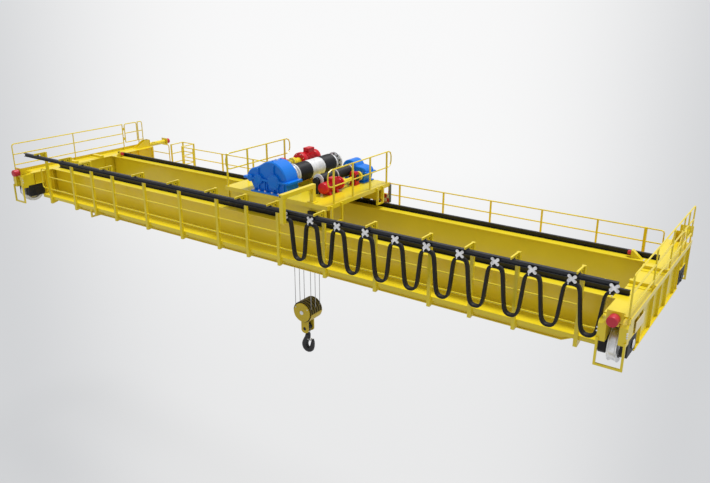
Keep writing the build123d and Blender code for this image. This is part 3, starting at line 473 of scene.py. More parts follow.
bearingBox = {
    "half": 0.33,
    "low": 0.22,
    "high": 0.665,
    "deep": 0.17,
    "cheek": 0.32,
    "cap": [(0, 0.17), (0.014, 0.166), (0.018, 0.08)],
    "bolts": (0.012, 0.13, 8),
    "place": (11.57, -2.43, 0.45),
    "disc": [(0, 0.12), (0.018, 0.12), (0.022, 0.114)],
    "band": [(0.022, 0.11), (0.027, 0.108), (0.035, 0.09)],
}
v = bearingBox
boxesPiece = Piece("bearingHousings", "black_paint", "bright_steel")
half, low = v["half"], v["low"]
for side in (-1, 1):
    for y in (-trackY, trackY):
        for cheek in (-1, 1):
            outer = side * trackX + cheek * v["cheek"]
            inner = outer - cheek * v["deep"]
            outline = [(y - half, low + 0.06), (y - half + 0.05, low), (y + half - 0.05, low), (y + half, low + 0.06),
                       (y + half, v["high"]), (y - half, v["high"])]
            boxesPiece.cast(outline, *sorted((outer, inner)), 0.008, axis="X")
            if cheek * side < 0 or y > 0:
                boxesPiece.turn(facing(v["cap"], cheek), (outer, y, axleHeight), 40, axis="X")
                seat, radius, count = v["bolts"]
                boxesPiece.ring((outer + cheek * seat, y, axleHeight), "xX"[cheek > 0], radius, count, 0.014, 0.013)
    x, y, z = v["place"]
    boxesPiece.turn(facing(v["disc"], side), (side * x, y, z), 56, axis="X")
    boxesPiece.turn(facing(v["band"], side), (side * x, y, z), 56, "bright_steel", "X")
boxesPiece.build("bridge", ["axle_boxes"])

print("stage: hoist machinery")

deck = 1.85
hoistDrum = {
    "x": 0.31,
    "height": 2.25,
    "radius": 0.305,
    "rim": 0.335,
    "near": -0.6,
    "band": (0.23, 0.9),
    "far": 1.62,
    "pitch": 0.029,
    "groove": 0.004,
    "shaft": (-0.8697, 0.1195),
    "gear": [(1.7205, 0.1), (1.75, 0.105), (1.76, 0.312), (1.768, 0.32), (1.81, 0.32), (1.818, 0.312),
             (1.818, 0.11), (1.84, 0.1)],
    "bolts": (1.76, 0.255, 10),
}
v = hoistDrum
drum = Piece("ropeDrum", "black_paint", "bright_steel", "machined_steel", "dark_steel")
centre = (v["x"], 0, v["height"])
near, far, rim, radius = v["near"], v["far"], v["rim"], v["radius"]
start, thin = v["shaft"]
drum.turn([(start, thin), (near + 0.001, thin)], centre, 40, "machined_steel")
drum.turn([(near, rim - 0.004), (near + 0.004, rim), (near + 0.05, rim), (near + 0.056, radius - 0.02),
           (near + 0.12, radius - 0.02), (near + 0.125, rim), (near + 0.176, rim), (near + 0.18, rim - 0.004)],
          centre, 72, "bright_steel")


# Rope grooves: the radius falls by the groove depth times a cosine along the axis, one turn for each pitch
def grooved(low, high, radius, pitch, depth):
    turns = max(1, round((high - low) / pitch))
    along = np.linspace(low, high, turns * 6 + 1)
    dip = depth * (0.5 - 0.5 * np.cos(2 * np.pi * turns * (along - low) / (high - low)))
    return list(zip(along, radius - dip))


low, high = v["band"]
drum.turn(grooved(near + 0.18, low, radius, v["pitch"], v["groove"]), centre, 64)
drum.turn([(low, radius - 0.003), (high, radius - 0.003)], centre, 72, "bright_steel")
drum.turn(grooved(high, far - 0.11, radius, v["pitch"], v["groove"]), centre, 64)
drum.turn([(far - 0.11, 0.268), (far - 0.006, 0.268), (far, 0.262), (far, 0.09), (far + 0.02, 0.0798),
           (1.739, 0.0798)], centre, 56, "bright_steel")
drum.turn(v["gear"], centre, 64, "bright_steel")
y, across, count = v["bolts"]
drum.ring((v["x"], y, v["height"]), "y", across, count, 0.028, 0.03, "dark_steel")
for y, axis in ((near, "y"), (far, "Y")):
    drum.ring((v["x"], y, v["height"]), axis, 0.2, 12, 0.016, 0.012, "machined_steel")
drum.build("hoist_drum", ["hoist_drum"])

hoistGearbox = {
    "near": -1.5,
    "far": -0.9,
    "barrel": (0.31, 2.25, 0.6),
    "shoulder": [(-0.69, 2.25), (-0.665, 2.38), (-0.6, 2.45), (-0.5, 2.54), (-0.38, 2.585), (-0.27, 2.615)],
    "casing": [(-0.64, 2.25), (-0.53, 2.12), (-0.44, 1.95), (-0.4, 1.89), (0.92, 1.89), (0.925, 2.0), (0.9, 2.25)],
    "flange": (-0.77, 1.05, 0.035),
    "shafts": [(0.45, 0.235), (-0.17, 0.165), (-0.5, 0.11)],
    "boss": 0.085,
    "ribTops": (0.5, 0.36),
    "ribs": (0.08, 0.16, 0.6, 0.84),
    "feet": (-0.34, -0.1, 0.14, 0.42, 0.68, 0.92),
}
v = hoistGearbox
gearbox = Piece("hoistReducer", "blue_paint", "bright_steel", "machined_steel")
cx, cz, radius = v["barrel"]
near, far = v["near"], v["far"]
gearbox.cast(swapped(v["shoulder"]) + arc(cx, cz, radius, 126, 0, 36), near, far, 0.035)
gearbox.cast(swapped(v["casing"]), near, far, 0.03)
left, right, half = v["flange"]
rim = [(cz - half, left), (cz + half, left), (cz + half, right), (cz - half, right)]
gearbox.cast(rim, near - 0.075, far + 0.03, 0.012)
gearbox.box((-0.4, near - 0.15, deck), (0.98, far + 0.05, deck + 0.05), 0.008)
y = v["boss"]
for x, r in v["shafts"]:
    gearbox.turn([(-y, r * 0.75), (-y + 0.012, r * 0.8), (-y + 0.02, r), (0.02, r)], (x, near, cz), 48)
    gearbox.ring((x, near - y + 0.018, cz), "y", r * 0.9, 8, 0.016, 0.014, start=0.2)
for (x, _), rise in zip(v["shafts"], v["ribTops"]):
    for low, high in ((cz + 0.13, cz + rise), (deck + 0.05, cz - 0.02)):
        gearbox.box((x - 0.014, near - 0.045, low), (x + 0.014, near + 0.03, high), 0.005)
for x in v["ribs"]:
    gearbox.box((x - 0.012, near - 0.04, deck + 0.05), (x + 0.012, near + 0.03, cz - 0.02), 0.004)
for y in (near + 0.1, far - 0.12):
    gearbox.cast(evenly(cx, [(cz + 0.56, 0.06), (cz + 0.62, 0.03)]), y, y + 0.03, 0.004)
for y in (near - 0.04, far + 0.012):
    gearbox.heads([(x, y, cz + half) for x in np.linspace(left + 0.04, right - 0.04, 15)], "Z", 0.018, 0.018)
gearbox.heads([(x, near - 0.1, deck + 0.05) for x in v["feet"]], "Z", 0.03, 0.035, "bright_steel")
gearbox.turn([(0.0, 0.045), (0.05, 0.045), (0.055, 0.03)], (cx, near + 0.3, cz + radius - 0.01), 24,
             "bright_steel", "Z")
gearbox.build("trolley", ["hoist_gearbox"])

pedestal = {
    "drum": (0.31, 1.68, 2.25, 0.2, 0.0803),
    "auxiliary": (1.45, -0.69, 2.25, 0.12, 0.0603),
    "half": 0.04,
}
v = pedestal
stands = Piece("bearingPedestals", "black_paint", "bright_steel")
for x, y, z, w, bore in (v["drum"], v["auxiliary"]):
    stands.cast(evenly(x, [(deck, w), (deck + 0.03, w)]), y - 0.055, y + 0.055, 0.005)
    outline = [(deck, x + w)] + arc(x, z, w * 0.8, 0, 180, 17) + [(deck, x - w)]
    stands.cast(outline, y - v["half"], y + v["half"], 0.008)
    for sign in (-1, 1):
        seat = facing([(0, bore + 0.05), (0.012, bore + 0.045)], sign)
        stands.turn(seat, (x, y + sign * v["half"], z), 36)
    stands.heads([(x + a * w * 0.8, y - 0.046, deck + 0.03) for a in (-1, 1)], "Z", 0.012, 0.012, "bright_steel")
stands.build("trolley", ["drum_pedestals"])


# A finned motor frame: the radius steps out and in round the axis, one fin for each step
def finned(radius, fin, count):
    t = np.repeat(np.arange(count), 4) + np.tile([0.0, 0.12, 0.42, 0.54], count)
    r = radius + np.tile([0, fin, fin, 0], count)
    a = 2 * np.pi * t / count
    return np.stack([np.cos(a) * r, np.sin(a) * r], axis=1)


# A motor along Y: end bell, finned frame, the other bell or fan cowl, feet and terminal box, from one set of values
def motor(piece, v):
    x, z, radius, (start, bell, flange) = v["x"], v["height"], v["radius"], v["bell"]
    piece.cast(finned(radius - 0.03, 0.03, 36) + np.array([z, x]), bell, v["frame"])
    for low, high, r in ((start, bell, radius + flange), (v["frame"], v["end"], radius + 0.004)):
        piece.turn([(low, r - 0.02), (low + 0.006, r - 0.006), (low + 0.02, r), (high - 0.02, r),
                    (high - 0.006, r - 0.006), (high, r - 0.02)], (x, 0, z), 56)
    for y in v["feet"]:
        foot = [(deck, radius * 0.85), (deck + 0.03, radius * 0.85), (z - radius * 0.55, radius * 0.6)]
        piece.cast(evenly(x, foot), y - 0.05, y + 0.05, 0.006)
        piece.heads([(x + a * radius * 0.72, y, deck + 0.03) for a in (-1, 1)], "Z", 0.016, 0.014, "bright_steel")
    (y0, y1), half, top = v["box"]
    piece.box((x - half, y0, z + radius * 0.8), (x + half, y1, top), 0.012)
    piece.box((x - half - 0.008, y0 - 0.008, top - 0.03), (x + half + 0.008, y1 + 0.008, top - 0.018), 0.003)
    piece.heads([(x + a * (half - 0.02), y, top) for a in (-1, 1) for y in (y0 + 0.02, y1 - 0.02)], "Z", 0.008, 0.006,
                "bright_steel")


hoistMotor = {
    "x": -0.45,
    "height": 2.35,
    "radius": 0.25,
    "bell": (0.8, 0.98, 0.02),
    "frame": 1.5,
    "end": 1.7,
    "feet": (1.06, 1.42),
    "box": ((1.18, 1.5), 0.11, 2.72),
}
v = hoistMotor
mainMotor = Piece("hoistDrive", "red_paint", "bright_steel")
motor(mainMotor, v)
mainMotor.ring((v["x"], v["bell"][0], v["height"]), "y", 0.23, 8, 0.014, 0.012, "bright_steel", start=0.3)
mainMotor.build("trolley", ["hoist_motor"])

auxMotor = {
    "x": 1.79,
    "height": 2.09,
    "radius": 0.17,
    "bell": (-0.85, -0.7, 0.004),
    "frame": -0.06,
    "end": 0.05,
    "feet": (-0.6, -0.22),
    "box": ((-0.48, -0.2), 0.09, 2.35),
    "flange": [(-0.02, 0.196), (-0.014, 0.2), (0.046, 0.2), (0.05, 0.196)],
    "brake": (0.78, 0.92, 0.16),
    "arm": [(-0.19, 0.12), (0.14, 0.12), (0.19, 0.08), (0.19, 0.03), (0.08, 0.07), (-0.19, 0.07)],
}
v = auxMotor
smallMotor = Piece("auxiliaryDrive", "red_paint", "bright_steel", "yellow_paint", "black_paint")
motor(smallMotor, v)
x, z = v["x"], v["height"]
smallMotor.turn(v["flange"], (x, 0, z))
smallMotor.box((x - 0.12, 0.74, deck), (x + 0.12, 0.96, deck + 0.05), 0.006)
smallMotor.turn(chamfered(*v["brake"], 0.005), (x, 0, z), slot="black_paint")
for side in (-1, 1):
    smallMotor.cast([(z + dz, x + side * dx) for dz, dx in v["arm"]], 0.76, 0.94, 0.008)
smallMotor.box((x - 0.115, 0.8, z + 0.165), (x + 0.115, 0.9, z + 0.189), 0.006)
smallMotor.build("trolley", ["aux_motor"])

couplingSet = {
    "hoist": (-0.45, 0, 2.35),
    "shaft": [(-0.8997, 0.0598), (0.36, 0.0598)],
    "gear": [(0.35, 0.08), (0.37, 0.1), (0.41, 0.1), (0.412, 0.166), (0.418, 0.17), (0.468, 0.17), (0.472, 0.162),
             (0.478, 0.162), (0.482, 0.17), (0.535, 0.17), (0.54, 0.165), (0.545, 0.12), (0.6, 0.118),
             (0.7997, 0.1195)],
    "bolts": (0.412, 0.138, 10),
    "auxiliary": (1.79, 0, 2.09),
    "auxShafts": (0.0498, [(0.0503, 0.7397), (0.9603, 1.1997)]),
    "discs": [(0.1, 0.3, 0.095), (1.04, 1.12, 0.15)],
}
v = couplingSet
shafts = Piece("shaftCouplings", "yellow_paint", "bright_steel", "machined_steel")
shafts.turn(v["shaft"], v["hoist"], 32, "machined_steel")
shafts.turn(v["gear"], v["hoist"], 56)
y, radius, count = v["bolts"]
shafts.ring(v["hoist"] + np.array((0, y, 0)), "y", radius, count, 0.014, 0.014, "bright_steel")
radius, runs = v["auxShafts"]
for low, high in runs:
    shafts.turn([(low, radius), (high, radius)], v["auxiliary"], 28)
for low, high, radius in v["discs"]:
    shafts.turn(chamfered(low, high, radius, 0.006), v["auxiliary"], 44)
shafts.build("trolley", ["couplings"])

auxDrum = {
    "x": 1.45,
    "height": 2.25,
    "radius": 0.17,
    "near": -0.6,
    "far": 1.0,
    "rings": (-0.6, 0.2, 0.975),
    "shafts": [(-0.74, -0.599, 0.0599), (0.999, 1.1697, 0.0479)],
}
v = auxDrum
small = Piece("auxiliaryRopeDrum", "black_paint", "white_paint", "machined_steel")
centre = (v["x"], 0, v["height"])
small.turn(grooved(v["near"] + 0.02, v["far"] - 0.02, v["radius"], 0.02, 0.003), centre, 44)
for low in v["rings"]:
    small.turn(chamfered(low, low + 0.025, 0.2, 0.004), centre, 56, "white_paint")
for low, high, radius in v["shafts"]:
    small.turn([(low, radius), (high, radius)], centre, 32, "machined_steel")
small.build("aux_drum", ["aux_drum"])

auxGearbox = {
    "near": 1.2,
    "far": 1.69,
    "barrel": (1.35, 2.25, 0.29),
    "outline": [(1.88, 2.34), (1.95, 2.3), (1.99, 2.23), (1.97, 2.16), (1.9, 1.88), (1.16, 1.88), (1.06, 2.16)],
    "flange": (1.01, 2.06),
    "foot": (1.12, 1.96),
    "shafts": [(1.45, 2.25, 0.12), (1.79, 2.09, 0.09)],
}
v = auxGearbox
reducer = Piece("auxiliaryReducer", "blue_paint", "bright_steel")
cx, cz, radius = v["barrel"]
reducer.cast(arc(cx, cz, radius, 180, 24, 30) + swapped(v["outline"]), v["near"], v["far"], 0.025)
near, far, (left, right), (low, high) = v["near"], v["far"], v["flange"], v["foot"]
reducer.box((left, near - 0.03, cz - 0.09), (right, far + 0.02, cz - 0.05), 0.006)
reducer.box((low, near - 0.05, deck), (high, far + 0.05, deck + 0.035), 0.006)
for x, z, r in v["shafts"]:
    reducer.turn([(-0.02, r), (0.02, r)], (x, near, z), 36)
    reducer.ring((x, near - 0.02, z), "y", r * 0.82, 8, 0.01, 0.007, "bright_steel")
for x in np.linspace(left + 0.05, right - 0.05, 9):
    reducer.heads([(x, y, cz - 0.05) for y in (near - 0.014, far + 0.006)], "Z", 0.012, 0.012, "bright_steel")
reducer.build("trolley", ["aux_gearbox"])

travelDrive = {
    "x": -1.15,
    "height": 2.11,
    "frame": (0.125, 0.56, 0.98),
    "bells": [(0.5, 0.56, 0.15), (0.98, 1.05, 0.15), (1.05, 1.4, 0.12)],
    "base": (0.15, 0.55, 1.3),
    "feet": (0.65, 0.95, 1.2),
    "bolts": (0.58, 0.93, 1.27),
    "box": (0.09, 0.62, 0.85),
}
v = travelDrive
travel = Piece("travelGearmotor", "red_paint", "bright_steel")
x, z = v["x"], v["height"]
radius, low, high = v["frame"]
travel.cast(finned(radius, 0.024, 30) + np.array([z, x]), low, high)
for low, high, r in v["bells"]:
    travel.turn([(low, r - 0.012), (low + 0.01, r), (high - 0.01, r), (high, r - 0.012)], (x, 0, z), 44)
half, low, high = v["base"]
travel.box((x - half, low, deck), (x + half, high, deck + 0.03), 0.006)
for y in v["feet"]:
    travel.cast(evenly(x, [(deck + 0.03, 0.13), (deck + 0.16, 0.09)]), y - 0.03, y + 0.03, 0.005)
half, low, high = v["box"]
travel.box((x - half, low, z + 0.1), (x + half, high, deck + 0.5), 0.01)
travel.heads([(x + a * 0.13, y, deck + 0.03) for a in (-1, 1) for y in v["bolts"]], "Z", 0.013, 0.012, "bright_steel")
travel.build("trolley", ["travel_drive"])

print("stage: sheaves, hook block and ropes")

sheave = {
    "x": 0.43,
    "rows": (-0.24, -0.12, 0.0, 0.12, 0.24),
    "rim": 0.37,
    "groove": 0.3237,
    "half": 0.048,
    "head": 1.32,
    "block": -2.61,
    "pin": 0.0748,
}

# One sheave in section: hub, dished web, rim with a round-bottomed groove, mirrored about its middle
def sheaveProfile(rim, groove, half):
    t = np.linspace(np.pi * 0.5, 0, 6)
    hollow = [(-0.0135 * np.sin(a) - 0.0005, groove + 0.0135 - 0.0135 * np.cos(a)) for a in t]
    side = [(-half, 0.07), (-half, 0.125), (-0.02, 0.14), (-0.016, 0.25), (-0.024, 0.275), (-half, 0.28),
            (-half, rim - 0.004), (-half + 0.004, rim), (-0.03, rim), (-0.016, groove + 0.018)] + hollow
    return side + facing(side, -1)


v = sheave
for name, z, body, node, reach in (("upperSheaves", v["head"], "trolley", "head_sheaves", 0.38),
                                   ("lowerSheaves", v["block"], "hook_block", "block_sheaves", 0.365)):
    pack = Piece(name, "forged_steel", "machined_steel")
    for y in v["rows"]:
        pack.turn(sheaveProfile(v["rim"], v["groove"], v["half"]), (v["x"], y, z), 64)
    pack.turn(chamfered(-reach, reach, v["pin"], 0.01), (v["x"], 0, z), 40, "machined_steel")
    pack.build(body, [node])

hookValues = {
    "x": 0.41,
    "centre": -3.99,
    "thick": 0.095,
    "back": [(-0.0697, 0.45), (-0.1, 0.36), (-0.165, 0.24), (-0.232, 0.1), (-0.248, -0.03), (-0.195, -0.16),
             (-0.075, -0.24), (0.065, -0.243), (0.185, -0.18), (0.24, -0.06), (0.252, 0.07), (0.244, 0.18),
             (0.218, 0.29)],
    "seat": [(0.0697, 0.45), (0.083, 0.36), (0.07, 0.28), (0.045, 0.2), (0.012, 0.145), (-0.015, 0.09),
             (-0.025, 0.03), (-0.012, -0.03), (0.025, -0.055), (0.068, -0.04), (0.1, 0.01), (0.13, 0.09),
             (0.16, 0.185), (0.192, 0.28)],
    "shank": [(-0.315, 0.0697), (0.175, 0.0697), (0.185, 0.06)],
    "nut": (-3.1995, -3.1295, 0.11),
    "collar": (-3.45, -3.405, 0.1),
}

blockPlates = {
    "radius": 0.34,
    "thick": 0.04,
    "low": 0.3,
    "strap": (0.15, 0.41, 0.13, 0.05),
    "trunnion": -3.29,
    "cover": (0.385, 0.012, -6, 172),
    "slot": 0.024,
    "skirt": 52,
}
v = blockPlates
plates = Piece("blockSidePlates", "olive_paint", "cover_paint", "bright_steel")
x, z = sheave["x"], sheave["block"]
disc = arc(x, z, v["radius"], 0, 354, 60)
for side in (-1, 1):
    low = side * (v["low"] + v["thick"] / 2) - v["thick"] / 2
    plates.cast(disc, low, low + v["thick"], 0.006)
    face = low if side < 0 else low + v["thick"]
    plates.heads([(x + a, face, z + 0.16) for a in (-0.25, 0.25)], "yY"[side > 0], 0.022, 0.014, "bright_steel")
    plates.heads([(x, face, z)], "yY"[side > 0], 0.05, 0.02, "bright_steel")
# Under the discs a yoke carries two straps with rounded ends; the crosshead turns between them
half, middle, inner, thick = v["strap"]
t = np.linspace(-np.pi / 2, np.pi / 2, 13)
foot = v["trunnion"] - 0.05
strap = [(z - 0.24, middle - half), (foot, middle - half)]
strap += [(foot - 0.12 * math.cos(a), middle + half * math.sin(a)) for a in t[1:-1]]
strap += [(foot, middle + half), (z - 0.24, middle + half)]
for low in (-inner - thick, inner):
    plates.cast(strap, low, low + thick, 0.006)
plates.cast(evenly(x, [(z - 0.22, 0.24), (z - 0.31, 0.17), (z - 0.34, 0.1)]), -v["low"], v["low"], 0.006)


# A sheet bent round the axle between two radii
def bentSheet(inner, outer, first, last, count):
    return arc(x, z, outer, first, last, count) + arc(x, z, inner, last, first, count)


# The guard round the sheaves is an arc of sheet: above, strips with a slot for each rope between them; below,
# a whole sheet to both sides; and a closed rim along their meeting ends
radius, sheet, first, last = v["cover"]
for start, end in ((first - v["skirt"], first), (last, last + v["skirt"])):
    plates.cast(bentSheet(radius - sheet, radius - 0.002, start, end, 15), -v["low"], v["low"])
edges = [-v["low"]] + [y + s * v["slot"] for y in sheave["rows"] for s in (-1, 1)] + [v["low"]]
for low, high in zip(edges[::2], edges[1::2]):
    plates.cast(bentSheet(radius - sheet, radius, first, last, 41), low, high, slot="cover_paint")
for spot in (first, last):
    plates.cast(bentSheet(radius - 0.016, radius + 0.006, spot - 3, spot + 3, 3), -v["low"], v["low"])
plates.build("hook_block", ["block_plates"])

crosshead = Piece("trunnionBlock", "dark_steel", "bright_steel")
profile = [(-0.195, 0.05), (-0.185, 0.06), (-0.125, 0.06), (-0.12, 0.1)]
crosshead.turn(profile + facing(profile, -1), (hookValues["x"], 0, v["trunnion"]), 40)
crosshead.build("hook_block", ["hook_trunnion"])

# A smooth line through points: each coordinate is a cubic with tangents half the way between neighbours,
# read at evenly spaced shares of the whole length
def through(points, count):
    points = np.asarray(points, float)
    tangent = np.gradient(points, axis=0)
    t = np.linspace(0, len(points) - 1.000001, 400)
    k = t.astype(int)
    u = (t - k)[:, None]
    p0, p1, m0, m1 = points[k], points[k + 1], tangent[k], tangent[k + 1]
    line = (2 * u ** 3 - 3 * u ** 2 + 1) * p0 + (u ** 3 - 2 * u ** 2 + u) * m0
    line += (3 * u ** 2 - 2 * u ** 3) * p1 + (u ** 3 - u ** 2) * m1
    length = np.concatenate([[0], np.cumsum(np.linalg.norm(np.diff(line, axis=0), axis=1))])
    share = np.linspace(0, length[-1], count)
    return np.stack([np.interp(share, length, line[:, k]) for k in range(2)], axis=1)


# The hook: between the back and seat lines an oval whose two half axes are half their distance and the thickness;
# its corners are squarer than an ellipse's, as on a forging
v = hookValues
count = 56
back = through(v["back"], count)
seat = through(v["seat"], count)
middle = (back + seat) / 2
half = (back - seat) / 2
t = np.linspace(0, 2 * np.pi, 28, endpoint=False)
wide = np.sign(np.cos(t)) * np.abs(np.cos(t)) ** 0.75
deep = np.sign(np.sin(t)) * np.abs(np.sin(t)) ** 0.75
share = np.linspace(0, 1, count)
thick = v["thick"] * np.interp(share, [0, 0.1, 0.9, 1.0], [1.0, 0.98, 0.9, 0.62])
x, z = np.moveaxis(middle[:, None] + half[:, None] * wide[:, None], -1, 0)
forging = Piece("forgedHook", "forged_steel", "dark_steel", "bright_steel")
forging.tube(np.stack([v["x"] + x, thick[:, None] * deep, v["centre"] + z], axis=-1), flipped=True)
forging.turn(v["shank"], (v["x"], 0, blockPlates["trunnion"]), 36, axis="Z")
forging.turn(chamfered(*v["nut"], 0.01), (v["x"], 0, 0), 6, "dark_steel", "Z")
forging.turn(chamfered(*v["collar"], 0.01), (v["x"], 0, 0), 36, "bright_steel", "Z")
pin = (v["x"] + 0.045, 0, v["centre"] + 0.272)
forging.turn([(-0.074, 0.0119), (0.074, 0.0119)], pin, 20, "bright_steel")
forging.build("hook", ["hook"], 40)

ropes = {
    "fall": 0.337,
    "radius": 0.011,
    "rows": (-0.24, 0.0, 0.24),
    "inside": 0.165,
    "strands": 6,
    "lay": 0.16,
}

# A rope's section is a ring of strands, r * (1 + 0.08 cos(strands * a)), turned once for each length of lay
v = ropes
falls = Piece("hoistRopes", "wire_rope")
along = np.linspace(sheave["head"], sheave["block"] + v["inside"], 121)
a = np.linspace(0, 2 * np.pi, 12, endpoint=False)
r = v["radius"] * (0.92 + 0.08 * np.cos(v["strands"] * (a - 2 * np.pi * along[:, None] / v["lay"])))
for y in v["rows"]:
    for side in (-1, 1):
        x = sheave["x"] + side * v["fall"]
        falls.tube(np.stack([x + r * np.cos(a), y + r * np.sin(a), along[:, None] + 0 * r], axis=-1), flipped=True)
rope = falls.build(None, ["hoist_ropes"], 50)
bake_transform(rope)

print("stage: festoon")

festoon = {
    "y": -2.64,
    "first": 1.85,
    "pitch": 0.925,
    "count": 11,
    "clamp": 1.64,
    "grip": 0.06,
    "width": 0.142,
    "gauge": 0.12,
    "thick": 0.071,
    "sag": 0.0302,
    "weights": (2.0, 1.0, 1.0, 1.2, 1.2, 1.0, 1.0, 2.0),
    "route": [(0, 0), (0.178, 0), (0.232, -0.56), (0.282, -1.03), (0.382, -1.14)],
}
v = festoon

# The section is two flat cables one on the other: a rounded box with a groove half way up each side
t = np.linspace(0, 2 * np.pi, 40, endpoint=False)
box = 1 / np.maximum(np.abs(np.cos(t)) ** 6 + np.abs(np.sin(t)) ** 6, 1e-9) ** (1 / 6)
groove = 1 - 0.10 * np.exp(-(np.sin(t) * box / 0.18) ** 2)
ribbon = np.stack([np.cos(t) * box * groove * v["width"] / 2, np.sin(t) * box * v["thick"] / 2], axis=1)
last, grip, top = v["count"] - 1, v["grip"], v["clamp"] - v["sag"]
for number in range(last):
    x0 = v["first"] + number * v["pitch"]
    x1 = x0 + v["pitch"]
    left = [(x0 + dx, v["y"], top + dz) for dx, dz in v["route"]]
    right = [(x1 - dx, v["y"], top + dz) for dx, dz in reversed(v["route"])]
    path = eased(left + right, 9, v["weights"])
    loop = Piece(f"cableLoop.{number + 1}", "black_rubber")
    loop.carry(path, ribbon, (0, 1, 0))
    band = loop.build(None, ["festoon_cable"] if number == 0 else [], 60)
    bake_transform(band)
    length = float(np.sum(np.linalg.norm(np.diff(path, axis=0), axis=1)))
print("loop length", round(length, 3))

carrierPlate = {
    "height": 1.75,
    "y": -2.704,
    "lobes": (0.069, 0.058),
    "round": 0.042,
    "waist": (0.054, 0.044),
    "thick": 0.03,
    "saddle": (0.05, 1.655, 1.675),
    "tail": (-0.075, 0.012, 1.6),
    "roller": (0.055, 1.7923, 0.02),
    "face": (-2.702, -2.66),
}
v = carrierPlate
quarters = ((1, 1), (-1, 1), (-1, -1), (1, -1))
corner = v["round"] * np.exp(1j * np.linspace(-1.9, 1.9, 9))
middles = [(0, v["waist"][1]), (-v["waist"][0], 0), (0, -v["waist"][1]), (v["waist"][0], 0)]
cross = []
for (sx, sz), middle in zip(quarters, middles):
    lobe = complex(sx * v["lobes"][0], sz * v["lobes"][1])
    cross += [(point.real, point.imag) for point in lobe + corner * lobe / abs(lobe)] + [middle]
y, z, half = v["y"], v["height"], v["thick"] / 2
for number in range(festoon["count"]):
    x = festoon["first"] + number * festoon["pitch"]
    holder = Piece(f"cableTrolley.{number + 1}", "carrier_plate", "dark_steel")
    holder.cast([(z + q, x + p) for p, q in cross], y - half, y + half, 0.006)
    low, bottom, top = v["saddle"]
    holder.box((x - low, y - 0.008, bottom), (x + low, y + 0.008, z), 0.002, "dark_steel")
    holder.box((x - low, y - 0.008, bottom), (x + low, festoon["y"] + 0.06, top), 0.005, "dark_steel")
    dx, tail, foot = v["tail"]
    holder.box((x + dx - tail, y - 0.012, foot), (x + dx + tail, y + 0.012, z), 0.003)
    for sx, sz in quarters:
        place = (x + sx * v["lobes"][0], y - half, z + sz * v["lobes"][1])
        holder.turn([(-0.012, 0.02), (-0.008, 0.026), (0.002, 0.026)], place, 16, "carrier_plate")
    dx, height, radius = v["roller"]
    for side in (-1, 1):
        holder.turn([(face, radius) for face in v["face"]], (x + side * dx, 0, height), 20, "dark_steel")
    body = f"cable_carrier_{number + 1}" if number < last else "bridge"
    holder.build(body, [f"cable_carrier_{number + 1}"])

print("stage: posts and small fittings")

nearPosts = {
    "places": (1.26, 2.97, 4.7, 6.39, 7.57, 8.75, 10.3),
    "width": 0.095,
    "near": -2.368,
    "far": -2.29,
    "foot": -0.05,
    "top": 1.98,
    "deck": 0.22,
    "rail": 0.023,
    "rails": (0.525, 1.0),
    "loop": (10.75, 1.27, 0.11),
    "end": 10.89,
    "bracket": (-2.0, 0.115),
    "arm": (-2.79, 0.06, 0.33),
    "hanger": (-7.83, 0.027, -0.17, -1.6),
}
v = nearPosts
places = [-x for x in reversed(v["places"])] + [0] + list(v["places"])
posts = Piece("festoonPosts", "yellow_paint")
near, half = v["near"], v["width"] / 2
for x in places:
    posts.box((x - half, near, v["foot"]), (x + half, v["far"], v["top"]), 0.004)
    back, low = v["bracket"]
    foot = [(near + 0.003, v["foot"] + 0.003), (v["far"], v["foot"] + 0.003), (back, v["foot"] + 0.07),
            (back, low), (near + 0.003, low)]
    posts.cast(foot, x - half + 0.003, x + half - 0.003, axis="X")


# Corners of a pipe run rounded: each corner is the quadratic curve from bend before it to bend after it
def bentRun(corners, bend, steps=6):
    corners = np.asarray(corners, float)
    run = [corners[:1]]
    t = np.linspace(0, 1, steps)[:, None]
    for before, corner, after in zip(corners, corners[1:], corners[2:]):
        a = corner + (before - corner) / np.linalg.norm(before - corner) * bend
        b = corner + (after - corner) / np.linalg.norm(after - corner) * bend
        run.append((1 - t) ** 2 * a + 2 * t * (1 - t) * corner + t ** 2 * b)
    return np.concatenate(run + [corners[-1:]])


middle = (near + v["far"]) / 2
low, high = v["rails"]
reach, top, bend = v["loop"]
pipe = v["rail"] * spokes((1, 0), (0, 1), 12)
posts.carry([(places[0], middle, high), (places[-1], middle, high)], pipe, (0, 1, 0))
loop = [(places[0], middle, top), (-reach, middle, top), (-reach, middle, low), (v["end"], middle, low)]
posts.carry(bentRun(loop, bend), pipe, (0, 1, 0))
# A hanger under the walkway, near the left end
x, size, drop, back = v["hanger"]
posts.box((x - size, near, drop), (x + size, near + 2 * size, v["deck"] - 0.11), 0.003)
posts.box((x - size + 0.002, near + 0.002, drop + 0.002), (x + size - 0.002, back, drop + 2 * size), 0.003)
posts.build("bridge", ["near_railing"])

brackets = Piece("festoonBrackets", "yellow_paint", "black_paint")
top, (tip, height, gusset) = v["top"], v["arm"]
for x in places:
    brackets.cast([(near, top), (tip, top), (tip, top - 0.012), (near, top - 0.012)], x - 0.024, x + 0.024, axis="X")
    web = [(near, top - 0.012), (tip, top - 0.012), (tip, top - height), (near - 0.2, top - height),
           (near, top - gusset)]
    brackets.cast(web, x - 0.015, x + 0.015, axis="X")
    brackets.turn([(0, 0.022), (0.003, 0.022)], (x + 0.0145, near - 0.07, 1.88), 16, "black_paint", "X")
brackets.build("bridge", ["festoon_arms"])

towArmValues = {
    "left": 1.875,
    "right": 2.005,
    "outer": (-2.95, -2.82, 1.55),
    "inner": (-1.575, -1.445),
    "top": (2.28, 2.4),
    "foot": 0.06,
    "corner": 0.16,
}
